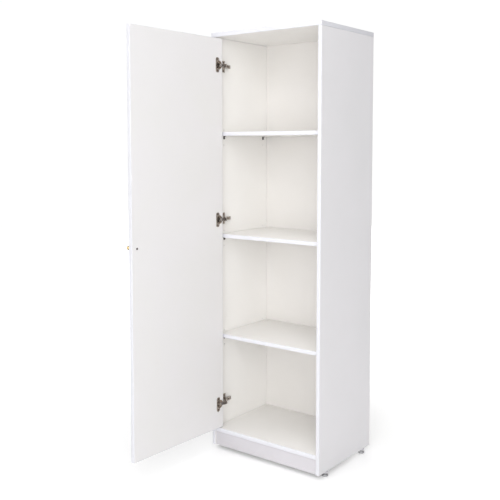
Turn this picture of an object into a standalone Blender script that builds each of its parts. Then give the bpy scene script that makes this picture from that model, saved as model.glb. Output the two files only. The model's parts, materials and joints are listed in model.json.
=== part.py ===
"""Locker cabinet in white board, with one inset door that stands open on concealed hinges.

Units are metres and +Z is up. The cabinet's front faces -Y and the door is hung on the side at -X.
Every piece is placed in the cabinet's own frame, whose origin is the middle of the carcass plan at
floor level. The empty cabinet_frame then moves that frame so that the world origin is the bottom
centre of the whole object with its door open.

The door turns about one upright axis near its hinge edge. Door pieces are modelled with the door
shut, under an empty on that axis, and the empty is turned to the opening the door rests at. The
hinge links hang on empties of their own in the same way.
"""
import math

import bmesh
import bpy
from mathutils import Euler, Matrix, Vector

# ---------------------------------------------------------------- driving dimensions
HEIGHT = 1.800
WIDTH = 0.552
DEPTH = 0.408
FOOT_HEIGHT = 0.020
FIT = 0.0003                   # gap kept between pieces that touch
EDGE_RADIUS = 0.0008           # softened edges of the boards

SIDE_THICKNESS = 0.016
TOP_THICKNESS = 0.018
BOTTOM_THICKNESS = 0.018
PLINTH_THICKNESS = 0.016
PLINTH_HEIGHT = 0.062          # from the sides' lower edge to the bottom panel
PLINTH_RECESS = 0.0066

BACK_THICKNESS = 0.003
BACK_POCKET = 0.034            # from the back panel's inner face to the sides' rear edge
GROOVE_DEPTH = 0.008
GROOVE_SLACK = 0.0005
RAIL_THICKNESS = 0.016
RAIL_HEIGHT = 0.080

SHELF_THICKNESS = 0.016
SHELF_SIDE_GAP = 0.001
SHELF_BACK_GAP = 0.002
SHELF_DOOR_GAP = 0.008         # from the shut door's inner face to the shelf's front edge
LOWER_SHELF_CLEAR = 0.3935     # clear height of the lowest compartment
UPPER_SHELF_CLEAR = 0.399      # clear height of the highest compartment

SUPPORT_FRONT_SETBACK = 0.064
SUPPORT_REAR_SETBACK = 0.030   # ahead of the back panel
SUPPORT_HOLE_RADIUS = 0.0025
SUPPORT_HOLE_DEPTH = 0.010
SUPPORT_HOLE_PITCH = 0.032
SUPPORT_PIN_RADIUS = 0.0022
SUPPORT_PIN_LENGTH = 0.008
SUPPORT_WIDTH = 0.010
SUPPORT_HEIGHT = 0.014
SUPPORT_REACH = 0.010
SUPPORT_PLATE = 0.0020
SUPPORT_PIN_DROP = 0.007       # from the support's top face to its pin

DOOR_THICKNESS = 0.018
DOOR_SIDE_GAP = 0.002
DOOR_BOTTOM_GAP = 0.003
DOOR_TOP_GAP = 0.007
REST_OPENING = math.radians(91.8)

# The door's axis and the links' axes, from the shut door's inner hinge corner: inward, then forward.
DOOR_AXIS_INWARD = 0.014
DOOR_AXIS_FORWARD = 0.014
OUTER_AXIS_INWARD = 0.034
OUTER_AXIS_FORWARD = 0.001
INNER_AXIS_INWARD = 0.036
INNER_AXIS_FORWARD = -0.007
OUTER_LINK_RATIO = -0.50       # link angle for each unit of door angle
INNER_LINK_RATIO = -0.35

TOP_HINGE_DROP = 0.112         # below the door's upper edge
BOTTOM_HINGE_RISE = 0.105      # above the door's lower edge
MIDDLE_HINGE_RISE = 0.064      # above the middle shelf

CUP_SETBACK = 0.0225           # cup centre from the door's hinge edge
CUP_RADIUS = 0.0172
CUP_WALL = 0.0006
CUP_DEPTH = 0.012
CUP_RIM_WIDTH = 0.0018          # beyond the cup
CUP_RIM_THICKNESS = 0.0012
CUP_WING_OFFSET = 0.0095       # wing centre line beyond the cup centre
CUP_WING_HEIGHT = 0.0625
CUP_WING_WIDTH = 0.020
CUP_WING_THICKNESS = 0.0010

LINK_EYE_RADIUS = 0.0023
LINK_HALF_THICKNESS = 0.0010
LINK_WIDTH = 0.0047            # along the axis
LINK_SPLIT = 0.0003            # half the gap between the two links
PIN_RADIUS = 0.0013
PIN_SLACK = 0.0003
ARM_OUTER_WIDTH = 0.0140       # along the axis
ARM_WALL = 0.0016
ARM_WEB = 0.0014
ARM_BASE_RISE = 0.0110         # arm's middle line above the side, where it lies on its plate
ARM_HALF_DEPTH = 0.0045
ARM_TIP_HALF_DEPTH = 0.0022
ARM_NECK_HALF_DEPTH = 0.0036
ARM_NECK_LEAN = 0.002          # neck's place from the inner link's pivot
ARM_NECK_LENGTH = 0.009
ARM_CRANK_RISE = 0.012         # crank's upper bend above the arm's flat part
ARM_CRANK_SETBACK = 0.047      # bends and tail from the cabinet's front
ARM_FLAT_SETBACK = 0.057
ARM_TAIL_SETBACK = 0.088
ARM_FORK_DEPTH = 0.0055        # fork's end behind the inner link's pivot
PLATE_SETBACK = 0.060          # wing centre from the cabinet's front
PLATE_WING_HEIGHT = 0.049
PLATE_WING_WIDTH = 0.015
PLATE_THICKNESS = 0.0022
PLATE_BAR_FRONT = 0.050        # bar's ends from the cabinet's front
PLATE_BAR_REAR = 0.092
PLATE_BAR_HALF_WIDTH = 0.0050
ARM_SCREW_SETBACK = 0.074
ARM_SCREW_RADIUS = 0.0017
ARM_SCREW_HEAD_RADIUS = 0.0034
ARM_SCREW_HEAD_HEIGHT = 0.0018
ARM_SCREW_LENGTH = 0.0065
ARM_SCREW_SLACK = 0.0004

KNOB_EDGE_SETBACK = 0.025      # from the door's free edge
KNOB_DROP = 0.006              # below the door's middle
KNOB_LENGTH = 0.034
KNOB_HEAD_RADIUS = 0.009
KNOB_NECK_RADIUS = 0.0042
KNOB_HEAD_HEIGHT = 0.0075      # dome above the head's widest ring
KNOB_FLARE_HEIGHT = 0.0068     # cone between the neck and the head
KNOB_FLARE_INSET = 0.0007
KNOB_BASE_RADIUS = 0.0062
KNOB_BASE_HEIGHT = 0.002
KNOB_BORE_DEPTH = 0.009
KNOB_SCREW_RADIUS = 0.0019
KNOB_SCREW_HEAD_RADIUS = 0.0040
KNOB_SCREW_HEAD_HEIGHT = 0.0022
KNOB_SCREW_HEAD_EDGE = 0.0009
KNOB_SCREW_CROWN_RADIUS = 0.0028
KNOB_SCREW_BITE = 0.008
SCREW_SLACK = 0.0005

STOP_WIDTH = 0.007
STOP_DEPTH = 0.012
STOP_HEIGHT = 0.018
STOP_DOOR_GAP = 0.0005

FOOT_SETBACK = 0.057           # from the front and rear edges
FOOT_RADIUS = 0.013
FOOT_GLIDE_RADIUS = 0.0115
FOOT_GLIDE_HEIGHT = 0.0015
FOOT_DISC_HEIGHT = 0.0085
FOOT_EDGE = 0.0008             # chamfer round the disc's upper edge
FOOT_NECK_RADIUS = 0.0060
STEM_RADIUS = 0.0040
STEM_LENGTH = 0.024            # above the sides' lower edge
SOCKET_RADIUS = 0.0052
SOCKET_WALL = 0.0008
SOCKET_DEPTH = 0.028
SOCKET_BORE_SLACK = 0.002      # room above the stem
COLLAR_RADIUS = 0.0140
COLLAR_TAPER = 0.0025
COLLAR_HEIGHT = 0.0040

ROUND_SEGMENTS = 32            # sides of the cups
FOOT_SEGMENTS = 24
PIN_SEGMENTS = 16
SMALL_SEGMENTS = 12            # sides of holes and thin pins
DOME_STEPS = 6
CAP_STEPS = 6                  # sides of a band's round end
SMOOTH_LIMIT = math.radians(35)

# ---------------------------------------------------------------- places worked out from them
SIDE_HEIGHT = HEIGHT - FOOT_HEIGHT - TOP_THICKNESS - FIT
LEFT = -WIDTH / 2
RIGHT = WIDTH / 2
FRONT = -DEPTH / 2
REAR = DEPTH / 2
INNER_LEFT = LEFT + SIDE_THICKNESS
INNER_RIGHT = RIGHT - SIDE_THICKNESS
SIDE_BOTTOM = FOOT_HEIGHT
SIDE_TOP = SIDE_BOTTOM + SIDE_HEIGHT
TOP_UNDERSIDE = HEIGHT - TOP_THICKNESS
BOTTOM_UNDERSIDE = SIDE_BOTTOM + PLINTH_HEIGHT
FLOOR_LEVEL = BOTTOM_UNDERSIDE + BOTTOM_THICKNESS
BACK_FACE = REAR - BACK_POCKET

DOOR_LEFT = INNER_LEFT + DOOR_SIDE_GAP
DOOR_RIGHT = INNER_RIGHT - DOOR_SIDE_GAP
DOOR_BOTTOM = FLOOR_LEVEL + DOOR_BOTTOM_GAP
DOOR_TOP = TOP_UNDERSIDE - DOOR_TOP_GAP
DOOR_INNER_FACE = FRONT + DOOR_THICKNESS

SHELF_FRONT = DOOR_INNER_FACE + SHELF_DOOR_GAP
SHELF_REAR = BACK_FACE - SHELF_BACK_GAP
LOWER_SHELF = FLOOR_LEVEL + LOWER_SHELF_CLEAR
UPPER_SHELF = TOP_UNDERSIDE - UPPER_SHELF_CLEAR - SHELF_THICKNESS
MIDDLE_SHELF = (LOWER_SHELF + UPPER_SHELF) / 2
SHELF_UNDERSIDES = {"upper": UPPER_SHELF, "middle": MIDDLE_SHELF, "lower": LOWER_SHELF}
SUPPORT_ROWS = {"front": FRONT + SUPPORT_FRONT_SETBACK, "rear": BACK_FACE - SUPPORT_REAR_SETBACK}

DOOR_AXIS = Vector((DOOR_LEFT + DOOR_AXIS_INWARD, DOOR_INNER_FACE - DOOR_AXIS_FORWARD, 0))
OUTER_AXIS = Vector((DOOR_LEFT + OUTER_AXIS_INWARD, DOOR_INNER_FACE - OUTER_AXIS_FORWARD, 0))
INNER_AXIS = Vector((DOOR_LEFT + INNER_AXIS_INWARD, DOOR_INNER_FACE - INNER_AXIS_FORWARD, 0))
HINGE_LEVELS = {
    "top": DOOR_TOP - TOP_HINGE_DROP,
    "middle": MIDDLE_SHELF + SHELF_THICKNESS + MIDDLE_HINGE_RISE,
    "bottom": DOOR_BOTTOM + BOTTOM_HINGE_RISE,
}
CUP_CENTRE_X = DOOR_LEFT + CUP_SETBACK
KNOB_X = DOOR_RIGHT - KNOB_EDGE_SETBACK
KNOB_LEVEL = (DOOR_TOP + DOOR_BOTTOM) / 2 - KNOB_DROP


def resting_place(point):
    """Where a point of the shut door lies when the door rests open."""
    turn = Matrix.Rotation(-REST_OPENING, 3, "Z")
    return DOOR_AXIS + turn @ (Vector(point) - DOOR_AXIS)


KNOB_TIP = resting_place((KNOB_X, FRONT - FIT - KNOB_LENGTH, 0))
DOOR_END = resting_place((DOOR_RIGHT, DOOR_INNER_FACE, 0))
COLLAR_OVERHANG = COLLAR_RADIUS - SIDE_THICKNESS / 2
LOWEST_X = min(KNOB_TIP.x, LEFT - COLLAR_OVERHANG)
HIGHEST_X = RIGHT + max(COLLAR_OVERHANG, 0)
FRAME_SHIFT = Vector((-(LOWEST_X + HIGHEST_X) / 2, -(DOOR_END.y + REAR) / 2, 0))

# ---------------------------------------------------------------- scene helpers
COLLECTION_NAME = "locker_cabinet"
WELD_DISTANCE = 0.00001


def clear_scene():
    """Remove every object, so that the model starts from an empty scene."""
    for obj in list(bpy.data.objects):
        bpy.data.objects.remove(obj, do_unlink=True)


def make_collection(name):
    """Add a collection to the scene."""
    collection = bpy.data.collections.new(name)
    bpy.context.scene.collection.children.link(collection)
    return collection


def make_material(name, colour, roughness, metallic=0.0):
    """Make a plain Principled material; colour is linear RGB."""
    material = bpy.data.materials.new(name)
    material.use_nodes = True
    shader = material.node_tree.nodes["Principled BSDF"]
    shader.inputs["Base Color"].default_value = (*colour, 1.0)
    shader.inputs["Roughness"].default_value = roughness
    shader.inputs["Metallic"].default_value = metallic
    return material


clear_scene()
PARTS = make_collection(COLLECTION_NAME)
CUTTERS = make_collection(COLLECTION_NAME + "_cutters")

BOARD_WHITE = (0.80, 0.80, 0.81)
DOOR_WHITE = (0.81, 0.81, 0.81)
BACK_WHITE = (0.77, 0.76, 0.74)
PLINTH_WHITE = (0.76, 0.75, 0.77)
NICKEL = (0.56, 0.55, 0.53)
DARK_NICKEL = (0.12, 0.11, 0.11)
STEEL = (0.48, 0.48, 0.49)
BRASS = (0.58, 0.43, 0.20)
DARK_BRONZE = (0.06, 0.04, 0.035)
COLLAR_GREY = (0.66, 0.65, 0.69)
STOP_GREY = (0.05, 0.05, 0.055)


def add_empty(name, location, turn=0.0, parent=None):
    """Add an empty that carries a frame or a joint's axis."""
    empty = bpy.data.objects.new(name, None)
    empty.location = location
    empty.rotation_euler = (0, 0, turn)
    empty.parent = parent
    PARTS.objects.link(empty)
    return empty


CABINET = add_empty("cabinet_frame", FRAME_SHIFT)
DOOR_PIVOT = add_empty("door_axis", DOOR_AXIS, -REST_OPENING, CABINET)
OUTER_PIVOT = add_empty("outer_link_axis", OUTER_AXIS, -REST_OPENING * OUTER_LINK_RATIO, CABINET)
INNER_PIVOT = add_empty("inner_link_axis", INNER_AXIS, -REST_OPENING * INNER_LINK_RATIO, CABINET)
PIVOT_ORIGINS = {
    CABINET: Vector((0, 0, 0)),
    DOOR_PIVOT: DOOR_AXIS,
    OUTER_PIVOT: OUTER_AXIS,
    INNER_PIVOT: INNER_AXIS,
}


def add_object(name, mesh, place, parent, rotation=(0, 0, 0)):
    """Put a mesh under one of the empties; place is given in the cabinet's frame, door shut."""
    obj = bpy.data.objects.new(name, mesh)
    obj.location = Vector(place) - PIVOT_ORIGINS[parent]
    obj.rotation_euler = rotation
    obj.parent = parent
    return obj


def add_part(name, mesh, place, material, parent=CABINET, rotation=(0, 0, 0)):
    """Add a visible piece with a material of its own."""
    obj = add_object(name, mesh, place, parent, rotation)
    mesh.materials.append(material)
    PARTS.objects.link(obj)
    return obj


def add_cutter(name, mesh, place, parent=CABINET, rotation=(0, 0, 0)):
    """Add a hidden tool for a Boolean."""
    obj = add_object(name, mesh, place, parent, rotation)
    obj.hide_render = True
    obj.display_type = "WIRE"
    CUTTERS.objects.link(obj)
    return obj


def combine(obj, tool, operation):
    """Cut or join an object with a tool."""
    modifier = obj.modifiers.new(operation.lower(), "BOOLEAN")
    modifier.operation = operation
    modifier.object = tool
    modifier.solver = "EXACT"


def soften(obj, width, segments=1):
    """Bevel the sharp edges of an object."""
    modifier = obj.modifiers.new("edges", "BEVEL")
    modifier.width = width
    modifier.segments = segments
    modifier.limit_method = "ANGLE"
    modifier.angle_limit = math.radians(60)
    modifier.use_clamp_overlap = True


def shade_round(mesh):
    """Smooth a turned or rounded mesh, keeping its corners sharp."""
    mesh.shade_smooth()
    mesh.set_sharp_from_angle(angle=SMOOTH_LIMIT)


# ---------------------------------------------------------------- mesh helpers
def box_mesh(name, size):
    """A box centred on its origin."""
    mesh = bpy.data.meshes.new(name)
    solid = bmesh.new()
    bmesh.ops.create_cube(solid, size=1.0)
    bmesh.ops.scale(solid, vec=Vector(size), verts=solid.verts)
    solid.to_mesh(mesh)
    solid.free()
    return mesh


def add_rods(solid, centres, radius, length, axis, segments):
    """Add closed cylinders along one axis to a bmesh."""
    turns = {"X": Euler((0, math.pi / 2, 0)), "Y": Euler((math.pi / 2, 0, 0)), "Z": Euler()}
    turn = turns[axis].to_matrix().to_4x4()
    for centre in centres:
        bmesh.ops.create_cone(
            solid, cap_ends=True, segments=segments, radius1=radius, radius2=radius,
            depth=length, matrix=Matrix.Translation(centre) @ turn)


def rod_mesh(name, radius, length, axis, segments=ROUND_SEGMENTS, centres=((0, 0, 0),)):
    """One cylinder, or several parallel ones, centred on the given points."""
    mesh = bpy.data.meshes.new(name)
    solid = bmesh.new()
    add_rods(solid, centres, radius, length, axis, segments)
    solid.to_mesh(mesh)
    solid.free()
    shade_round(mesh)
    return mesh


def turned_part(name, profile, place, material, parent=CABINET, rotation=(0, 0, 0),
                segments=ROUND_SEGMENTS):
    """Turn a profile of (radius, height) points, outer side from top to bottom, about Z."""
    mesh = bpy.data.meshes.new(name)
    points = [(radius, 0.0, height) for radius, height in profile]
    edges = [(index, index + 1) for index in range(len(points) - 1)]
    mesh.from_pydata(points, edges, [])
    obj = add_part(name, mesh, place, material, parent, rotation)
    screw = obj.modifiers.new("turn", "SCREW")
    screw.axis = "Z"
    screw.steps = segments
    screw.render_steps = segments
    screw.use_merge_vertices = True
    screw.merge_threshold = WELD_DISTANCE
    depsgraph = bpy.context.evaluated_depsgraph_get()
    obj.data = bpy.data.meshes.new_from_object(obj.evaluated_get(depsgraph))
    obj.modifiers.remove(screw)
    shade_round(obj.data)
    return obj


def plate_mesh(name, outline, thickness):
    """Extrude a flat outline in the XY plane by a thickness along Z, centred on Z = 0."""
    curve = bpy.data.curves.new(name, "CURVE")
    curve.dimensions = "2D"
    curve.fill_mode = "BOTH"
    curve.extrude = thickness / 2
    spline = curve.splines.new("POLY")
    spline.points.add(len(outline) - 1)
    for point, (x, y) in zip(spline.points, outline):
        point.co = (x, y, 0, 1)
    spline.use_cyclic_u = True
    guide = bpy.data.objects.new(name + "_outline", curve)
    CUTTERS.objects.link(guide)
    depsgraph = bpy.context.evaluated_depsgraph_get()
    mesh = bpy.data.meshes.new_from_object(guide.evaluated_get(depsgraph))
    mesh.name = name
    bpy.data.objects.remove(guide, do_unlink=True)
    solid = bmesh.new()
    solid.from_mesh(mesh)
    bmesh.ops.remove_doubles(solid, verts=solid.verts, dist=WELD_DISTANCE)
    bmesh.ops.recalc_face_normals(solid, faces=solid.faces)
    solid.to_mesh(mesh)
    solid.free()
    return mesh


def side_points(line, offsets):
    """Offset an open line to its left by an amount given for each point."""
    shifted = []
    for index, point in enumerate(line):
        before = line[max(index - 1, 0)]
        after = line[min(index + 1, len(line) - 1)]
        along = (Vector(after) - Vector(before)).normalized()
        left = Vector((-along.y, along.x))
        shifted.append(Vector(point) + left * offsets[index])
    return shifted


def round_cap(centre, start):
    """Points of a half circle from start, turning anticlockwise about the centre."""
    arm = Vector(start) - Vector(centre)
    points = []
    for index in range(1, CAP_STEPS):
        turn = Matrix.Rotation(math.pi * index / CAP_STEPS, 2)
        points.append(Vector(centre) + turn @ arm)
    return points


def band_outline(line, half_widths):
    """Outline of a band along a line, with round ends."""
    left = side_points(line, half_widths)
    right = side_points(line, [-width for width in half_widths])
    end_cap = round_cap(line[-1], right[-1])
    start_cap = round_cap(line[0], left[0])
    outline = right + end_cap + list(reversed(left)) + start_cap
    return [(point.x, point.y) for point in outline]


# ---------------------------------------------------------------- carcass
def board(name, low, high, colour, roughness=0.45, parent=CABINET):
    """A flat board between two opposite corners, with softened edges."""
    size = Vector(high) - Vector(low)
    centre = (Vector(high) + Vector(low)) / 2
    obj = add_part(name, box_mesh(name, size), centre, make_material(name, colour, roughness), parent)
    soften(obj, EDGE_RADIUS)
    return obj


def support_holes(name, inner_face):
    """Cutter for one side's rows of holes: one at each pin, and one above and below it."""
    centres = []
    for underside in SHELF_UNDERSIDES.values():
        pin_level = underside - FIT - SUPPORT_PIN_DROP
        for row in SUPPORT_ROWS.values():
            for step in (-1, 0, 1):
                centres.append((0, row, pin_level + step * SUPPORT_HOLE_PITCH))
    length = 2 * SUPPORT_HOLE_DEPTH
    mesh = rod_mesh(name, SUPPORT_HOLE_RADIUS, length, "X", SMALL_SEGMENTS, centres)
    return add_cutter(name, mesh, (inner_face, 0, 0))


def back_groove(name, inner_face):
    """Cutter for the groove that holds the back panel in one side."""
    width = 2 * GROOVE_DEPTH
    thickness = BACK_THICKNESS + 2 * GROOVE_SLACK
    centre = (inner_face, BACK_FACE + BACK_THICKNESS / 2, SIDE_BOTTOM + SIDE_HEIGHT / 2)
    return add_cutter(name, box_mesh(name, (width, thickness, SIDE_HEIGHT * 1.1)), centre)


def foot_places():
    """Name and plan place of each foot, under the middle of the sides' thickness."""
    columns = {"left": LEFT + SIDE_THICKNESS / 2, "right": RIGHT - SIDE_THICKNESS / 2}
    rows = {"front": FRONT + FOOT_SETBACK, "rear": REAR - FOOT_SETBACK}
    for row, y in rows.items():
        for column, x in columns.items():
            yield row + "_" + column, column, x, y


def make_side(column, low_x, high_x, inner_face):
    """One side panel with its groove, shelf holes and foot bores."""
    side = board("side_" + column, (low_x, FRONT, SIDE_BOTTOM), (high_x, REAR, SIDE_TOP), BOARD_WHITE)
    combine(side, back_groove(column + "_groove", inner_face), "DIFFERENCE")
    combine(side, support_holes(column + "_shelf_holes", inner_face), "DIFFERENCE")
    bores = [(x, y, SIDE_BOTTOM) for _, own, x, y in foot_places() if own == column]
    mesh = rod_mesh(column + "_foot_bores", SOCKET_RADIUS + FIT, 2 * (SOCKET_DEPTH + FIT), "Z",
                    SMALL_SEGMENTS, bores)
    combine(side, add_cutter(column + "_foot_bores", mesh, (0, 0, 0)), "DIFFERENCE")
    return side


def make_carcass():
    """Sides, top, bottom, back, plinth and rear rail."""
    make_side("left", LEFT, INNER_LEFT, INNER_LEFT)
    make_side("right", INNER_RIGHT, RIGHT, INNER_RIGHT)

    top = board("top_panel", (LEFT, FRONT, TOP_UNDERSIDE), (RIGHT, REAR, HEIGHT), BOARD_WHITE)
    groove_width = INNER_RIGHT - INNER_LEFT + 2 * GROOVE_DEPTH
    groove = box_mesh("top_groove", (groove_width, BACK_THICKNESS + 2 * GROOVE_SLACK, 2 * GROOVE_DEPTH))
    place = (0, BACK_FACE + BACK_THICKNESS / 2, TOP_UNDERSIDE)
    combine(top, add_cutter("top_groove", groove, place), "DIFFERENCE")

    inner_low = INNER_LEFT + FIT
    inner_high = INNER_RIGHT - FIT
    board("bottom_panel", (inner_low, FRONT, BOTTOM_UNDERSIDE), (inner_high, BACK_FACE - FIT, FLOOR_LEVEL),
          BOARD_WHITE)
    plinth_face = FRONT + PLINTH_RECESS
    board("plinth_front", (inner_low, plinth_face, SIDE_BOTTOM),
          (inner_high, plinth_face + PLINTH_THICKNESS, BOTTOM_UNDERSIDE - FIT), PLINTH_WHITE)

    reach = GROOVE_DEPTH - GROOVE_SLACK
    back_low = (INNER_LEFT - reach, BACK_FACE, BOTTOM_UNDERSIDE)
    back_high = (INNER_RIGHT + reach, BACK_FACE + BACK_THICKNESS, TOP_UNDERSIDE + reach)
    size = Vector(back_high) - Vector(back_low)
    centre = (Vector(back_high) + Vector(back_low)) / 2
    add_part("back_panel", box_mesh("back_panel", size), centre,
             make_material("back_panel", BACK_WHITE, 0.55))

    rail_front = BACK_FACE + BACK_THICKNESS + FIT
    board("rear_rail", (inner_low, rail_front, TOP_UNDERSIDE - FIT - RAIL_HEIGHT),
          (inner_high, rail_front + RAIL_THICKNESS, TOP_UNDERSIDE - FIT), BOARD_WHITE)


# ---------------------------------------------------------------- shelves and supports
def make_shelf(level, underside):
    """One adjustable shelf, lying on its four supports."""
    board("shelf_" + level, (INNER_LEFT + SHELF_SIDE_GAP, SHELF_FRONT, underside),
          (INNER_RIGHT - SHELF_SIDE_GAP, SHELF_REAR, underside + SHELF_THICKNESS), BOARD_WHITE)


def make_support(level, row, column, underside):
    """A pressed bracket: upright plate with a pin into the side, and a ledge under the shelf."""
    name = "support_" + level + "_" + row + "_" + column
    inward = 1 if column == "left" else -1
    face = INNER_LEFT if column == "left" else INNER_RIGHT
    top = underside - FIT
    near = face + inward * FIT
    upright_x = near + inward * SUPPORT_PLATE / 2
    y = SUPPORT_ROWS[row]
    upright = box_mesh(name, (SUPPORT_PLATE, SUPPORT_WIDTH, SUPPORT_HEIGHT))
    support = add_part(name, upright, (upright_x, y, top - SUPPORT_HEIGHT / 2),
                       make_material(name, DARK_NICKEL, 0.35, 0.9))
    ledge = box_mesh(name + "_ledge", (SUPPORT_REACH, SUPPORT_WIDTH, SUPPORT_PLATE))
    ledge_place = (near + inward * SUPPORT_REACH / 2, y, top - SUPPORT_PLATE / 2)
    combine(support, add_cutter(name + "_ledge", ledge, ledge_place), "UNION")
    pin_length = SUPPORT_PIN_LENGTH + SUPPORT_PLATE
    pin = rod_mesh(name + "_pin", SUPPORT_PIN_RADIUS, pin_length, "X", SMALL_SEGMENTS)
    pin_place = (face - inward * (SUPPORT_PIN_LENGTH - SUPPORT_PLATE) / 2, y, top - SUPPORT_PIN_DROP)
    combine(support, add_cutter(name + "_pin", pin, pin_place), "UNION")


def make_shelves():
    """All shelves, each on four supports."""
    for level, underside in SHELF_UNDERSIDES.items():
        make_shelf(level, underside)
        for row in SUPPORT_ROWS:
            for column in ("left", "right"):
                make_support(level, row, column, underside)


# ---------------------------------------------------------------- feet
def make_foot(place, x, y):
    """Socket with its collar, pressed into the side's lower edge, and the foot screwed into it."""
    bore = SOCKET_RADIUS - SOCKET_WALL
    bore_top = STEM_LENGTH + SOCKET_BORE_SLACK
    collar_top = -FIT
    collar_low = -FIT - COLLAR_HEIGHT
    socket_profile = [
        (0.0, SOCKET_DEPTH),
        (SOCKET_RADIUS, SOCKET_DEPTH),
        (SOCKET_RADIUS, collar_top),
        (COLLAR_RADIUS, collar_top),
        (COLLAR_RADIUS - COLLAR_TAPER, collar_low),
        (bore, collar_low),
        (bore, bore_top),
        (0.0, bore_top),
    ]
    turned_part("foot_socket_" + place, socket_profile, (x, y, SIDE_BOTTOM),
                make_material("foot_socket_" + place, COLLAR_GREY, 0.5), segments=FOOT_SEGMENTS)
    neck_top = SIDE_BOTTOM + collar_low - FIT
    foot_profile = [
        (0.0, SIDE_BOTTOM + STEM_LENGTH),
        (STEM_RADIUS, SIDE_BOTTOM + STEM_LENGTH),
        (STEM_RADIUS, neck_top),
        (FOOT_NECK_RADIUS, neck_top),
        (FOOT_NECK_RADIUS, FOOT_DISC_HEIGHT),
        (FOOT_RADIUS - FOOT_EDGE, FOOT_DISC_HEIGHT),
        (FOOT_RADIUS, FOOT_DISC_HEIGHT - FOOT_EDGE),
        (FOOT_RADIUS, FOOT_GLIDE_HEIGHT),
        (FOOT_GLIDE_RADIUS, FOOT_GLIDE_HEIGHT),
        (FOOT_GLIDE_RADIUS, 0.0),
        (0.0, 0.0),
    ]
    turned_part("levelling_foot_" + place, foot_profile, (x, y, 0),
                make_material("levelling_foot_" + place, STEEL, 0.3, 1.0), segments=FOOT_SEGMENTS)


# ---------------------------------------------------------------- door
def make_door():
    """Door panel with a pocket for each hinge cup and a hole for the knob's screw."""
    door = board("door_panel", (DOOR_LEFT, FRONT, DOOR_BOTTOM), (DOOR_RIGHT, DOOR_INNER_FACE, DOOR_TOP),
                 DOOR_WHITE, parent=DOOR_PIVOT)
    centres = [(0, 0, level) for level in HINGE_LEVELS.values()]
    depth = 2 * (CUP_DEPTH + FIT)
    mesh = rod_mesh("cup_pockets", CUP_RADIUS + FIT, depth, "Y", ROUND_SEGMENTS, centres)
    pockets = add_cutter("cup_pockets", mesh, (CUP_CENTRE_X, DOOR_INNER_FACE, 0), DOOR_PIVOT)
    combine(door, pockets, "DIFFERENCE")
    hole = rod_mesh("knob_hole", KNOB_SCREW_RADIUS + SCREW_SLACK, 2 * DOOR_THICKNESS, "Y", SMALL_SEGMENTS)
    place = (KNOB_X, FRONT + DOOR_THICKNESS / 2, KNOB_LEVEL)
    combine(door, add_cutter("knob_hole", hole, place, DOOR_PIVOT), "DIFFERENCE")


def make_knob():
    """Turned knob on the door's outer face, with a blind bore for its screw."""
    bore = KNOB_SCREW_RADIUS + SCREW_SLACK
    shoulder = KNOB_LENGTH - KNOB_HEAD_HEIGHT
    profile = [(0.0, KNOB_LENGTH)]
    for step in range(1, DOME_STEPS + 1):
        angle = math.pi / 2 * step / DOME_STEPS
        profile.append((KNOB_HEAD_RADIUS * math.sin(angle), shoulder + KNOB_HEAD_HEIGHT * math.cos(angle)))
    profile += [
        (KNOB_HEAD_RADIUS - KNOB_FLARE_INSET, shoulder - 2 * KNOB_FLARE_INSET),
        (KNOB_NECK_RADIUS, shoulder - KNOB_FLARE_HEIGHT),
        (KNOB_NECK_RADIUS, KNOB_BASE_HEIGHT * 2),
        (KNOB_BASE_RADIUS, KNOB_BASE_HEIGHT),
        (KNOB_BASE_RADIUS, 0.0),
        (bore, 0.0),
        (bore, KNOB_BORE_DEPTH),
        (0.0, KNOB_BORE_DEPTH),
    ]
    turned_part("door_knob", profile, (KNOB_X, FRONT - FIT, KNOB_LEVEL),
                make_material("door_knob", BRASS, 0.3, 1.0), DOOR_PIVOT, (math.pi / 2, 0, 0),
                FOOT_SEGMENTS)


def make_knob_screw():
    """Screw through the door into the knob, its head on the inner face."""
    length = DOOR_THICKNESS + KNOB_SCREW_BITE
    profile = [
        (0.0, length),
        (KNOB_SCREW_RADIUS, length),
        (KNOB_SCREW_RADIUS, -FIT),
        (KNOB_SCREW_HEAD_RADIUS, -FIT),
        (KNOB_SCREW_HEAD_RADIUS, -FIT - KNOB_SCREW_HEAD_EDGE),
        (KNOB_SCREW_CROWN_RADIUS, -FIT - KNOB_SCREW_HEAD_HEIGHT),
        (0.0, -FIT - KNOB_SCREW_HEAD_HEIGHT),
    ]
    turned_part("knob_screw", profile, (KNOB_X, DOOR_INNER_FACE, KNOB_LEVEL),
                make_material("knob_screw", DARK_BRONZE, 0.4, 0.8), DOOR_PIVOT, (math.pi / 2, 0, 0),
                PIN_SEGMENTS)


def make_door_stop():
    """Small block under the top that the shut door's free edge meets."""
    high_x = INNER_RIGHT - FIT
    near_y = DOOR_INNER_FACE + STOP_DOOR_GAP
    high_z = TOP_UNDERSIDE - FIT
    board("door_stop", (high_x - STOP_WIDTH, near_y, high_z - STOP_HEIGHT),
          (high_x, near_y + STOP_DEPTH, high_z), STOP_GREY, 0.7)


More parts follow.
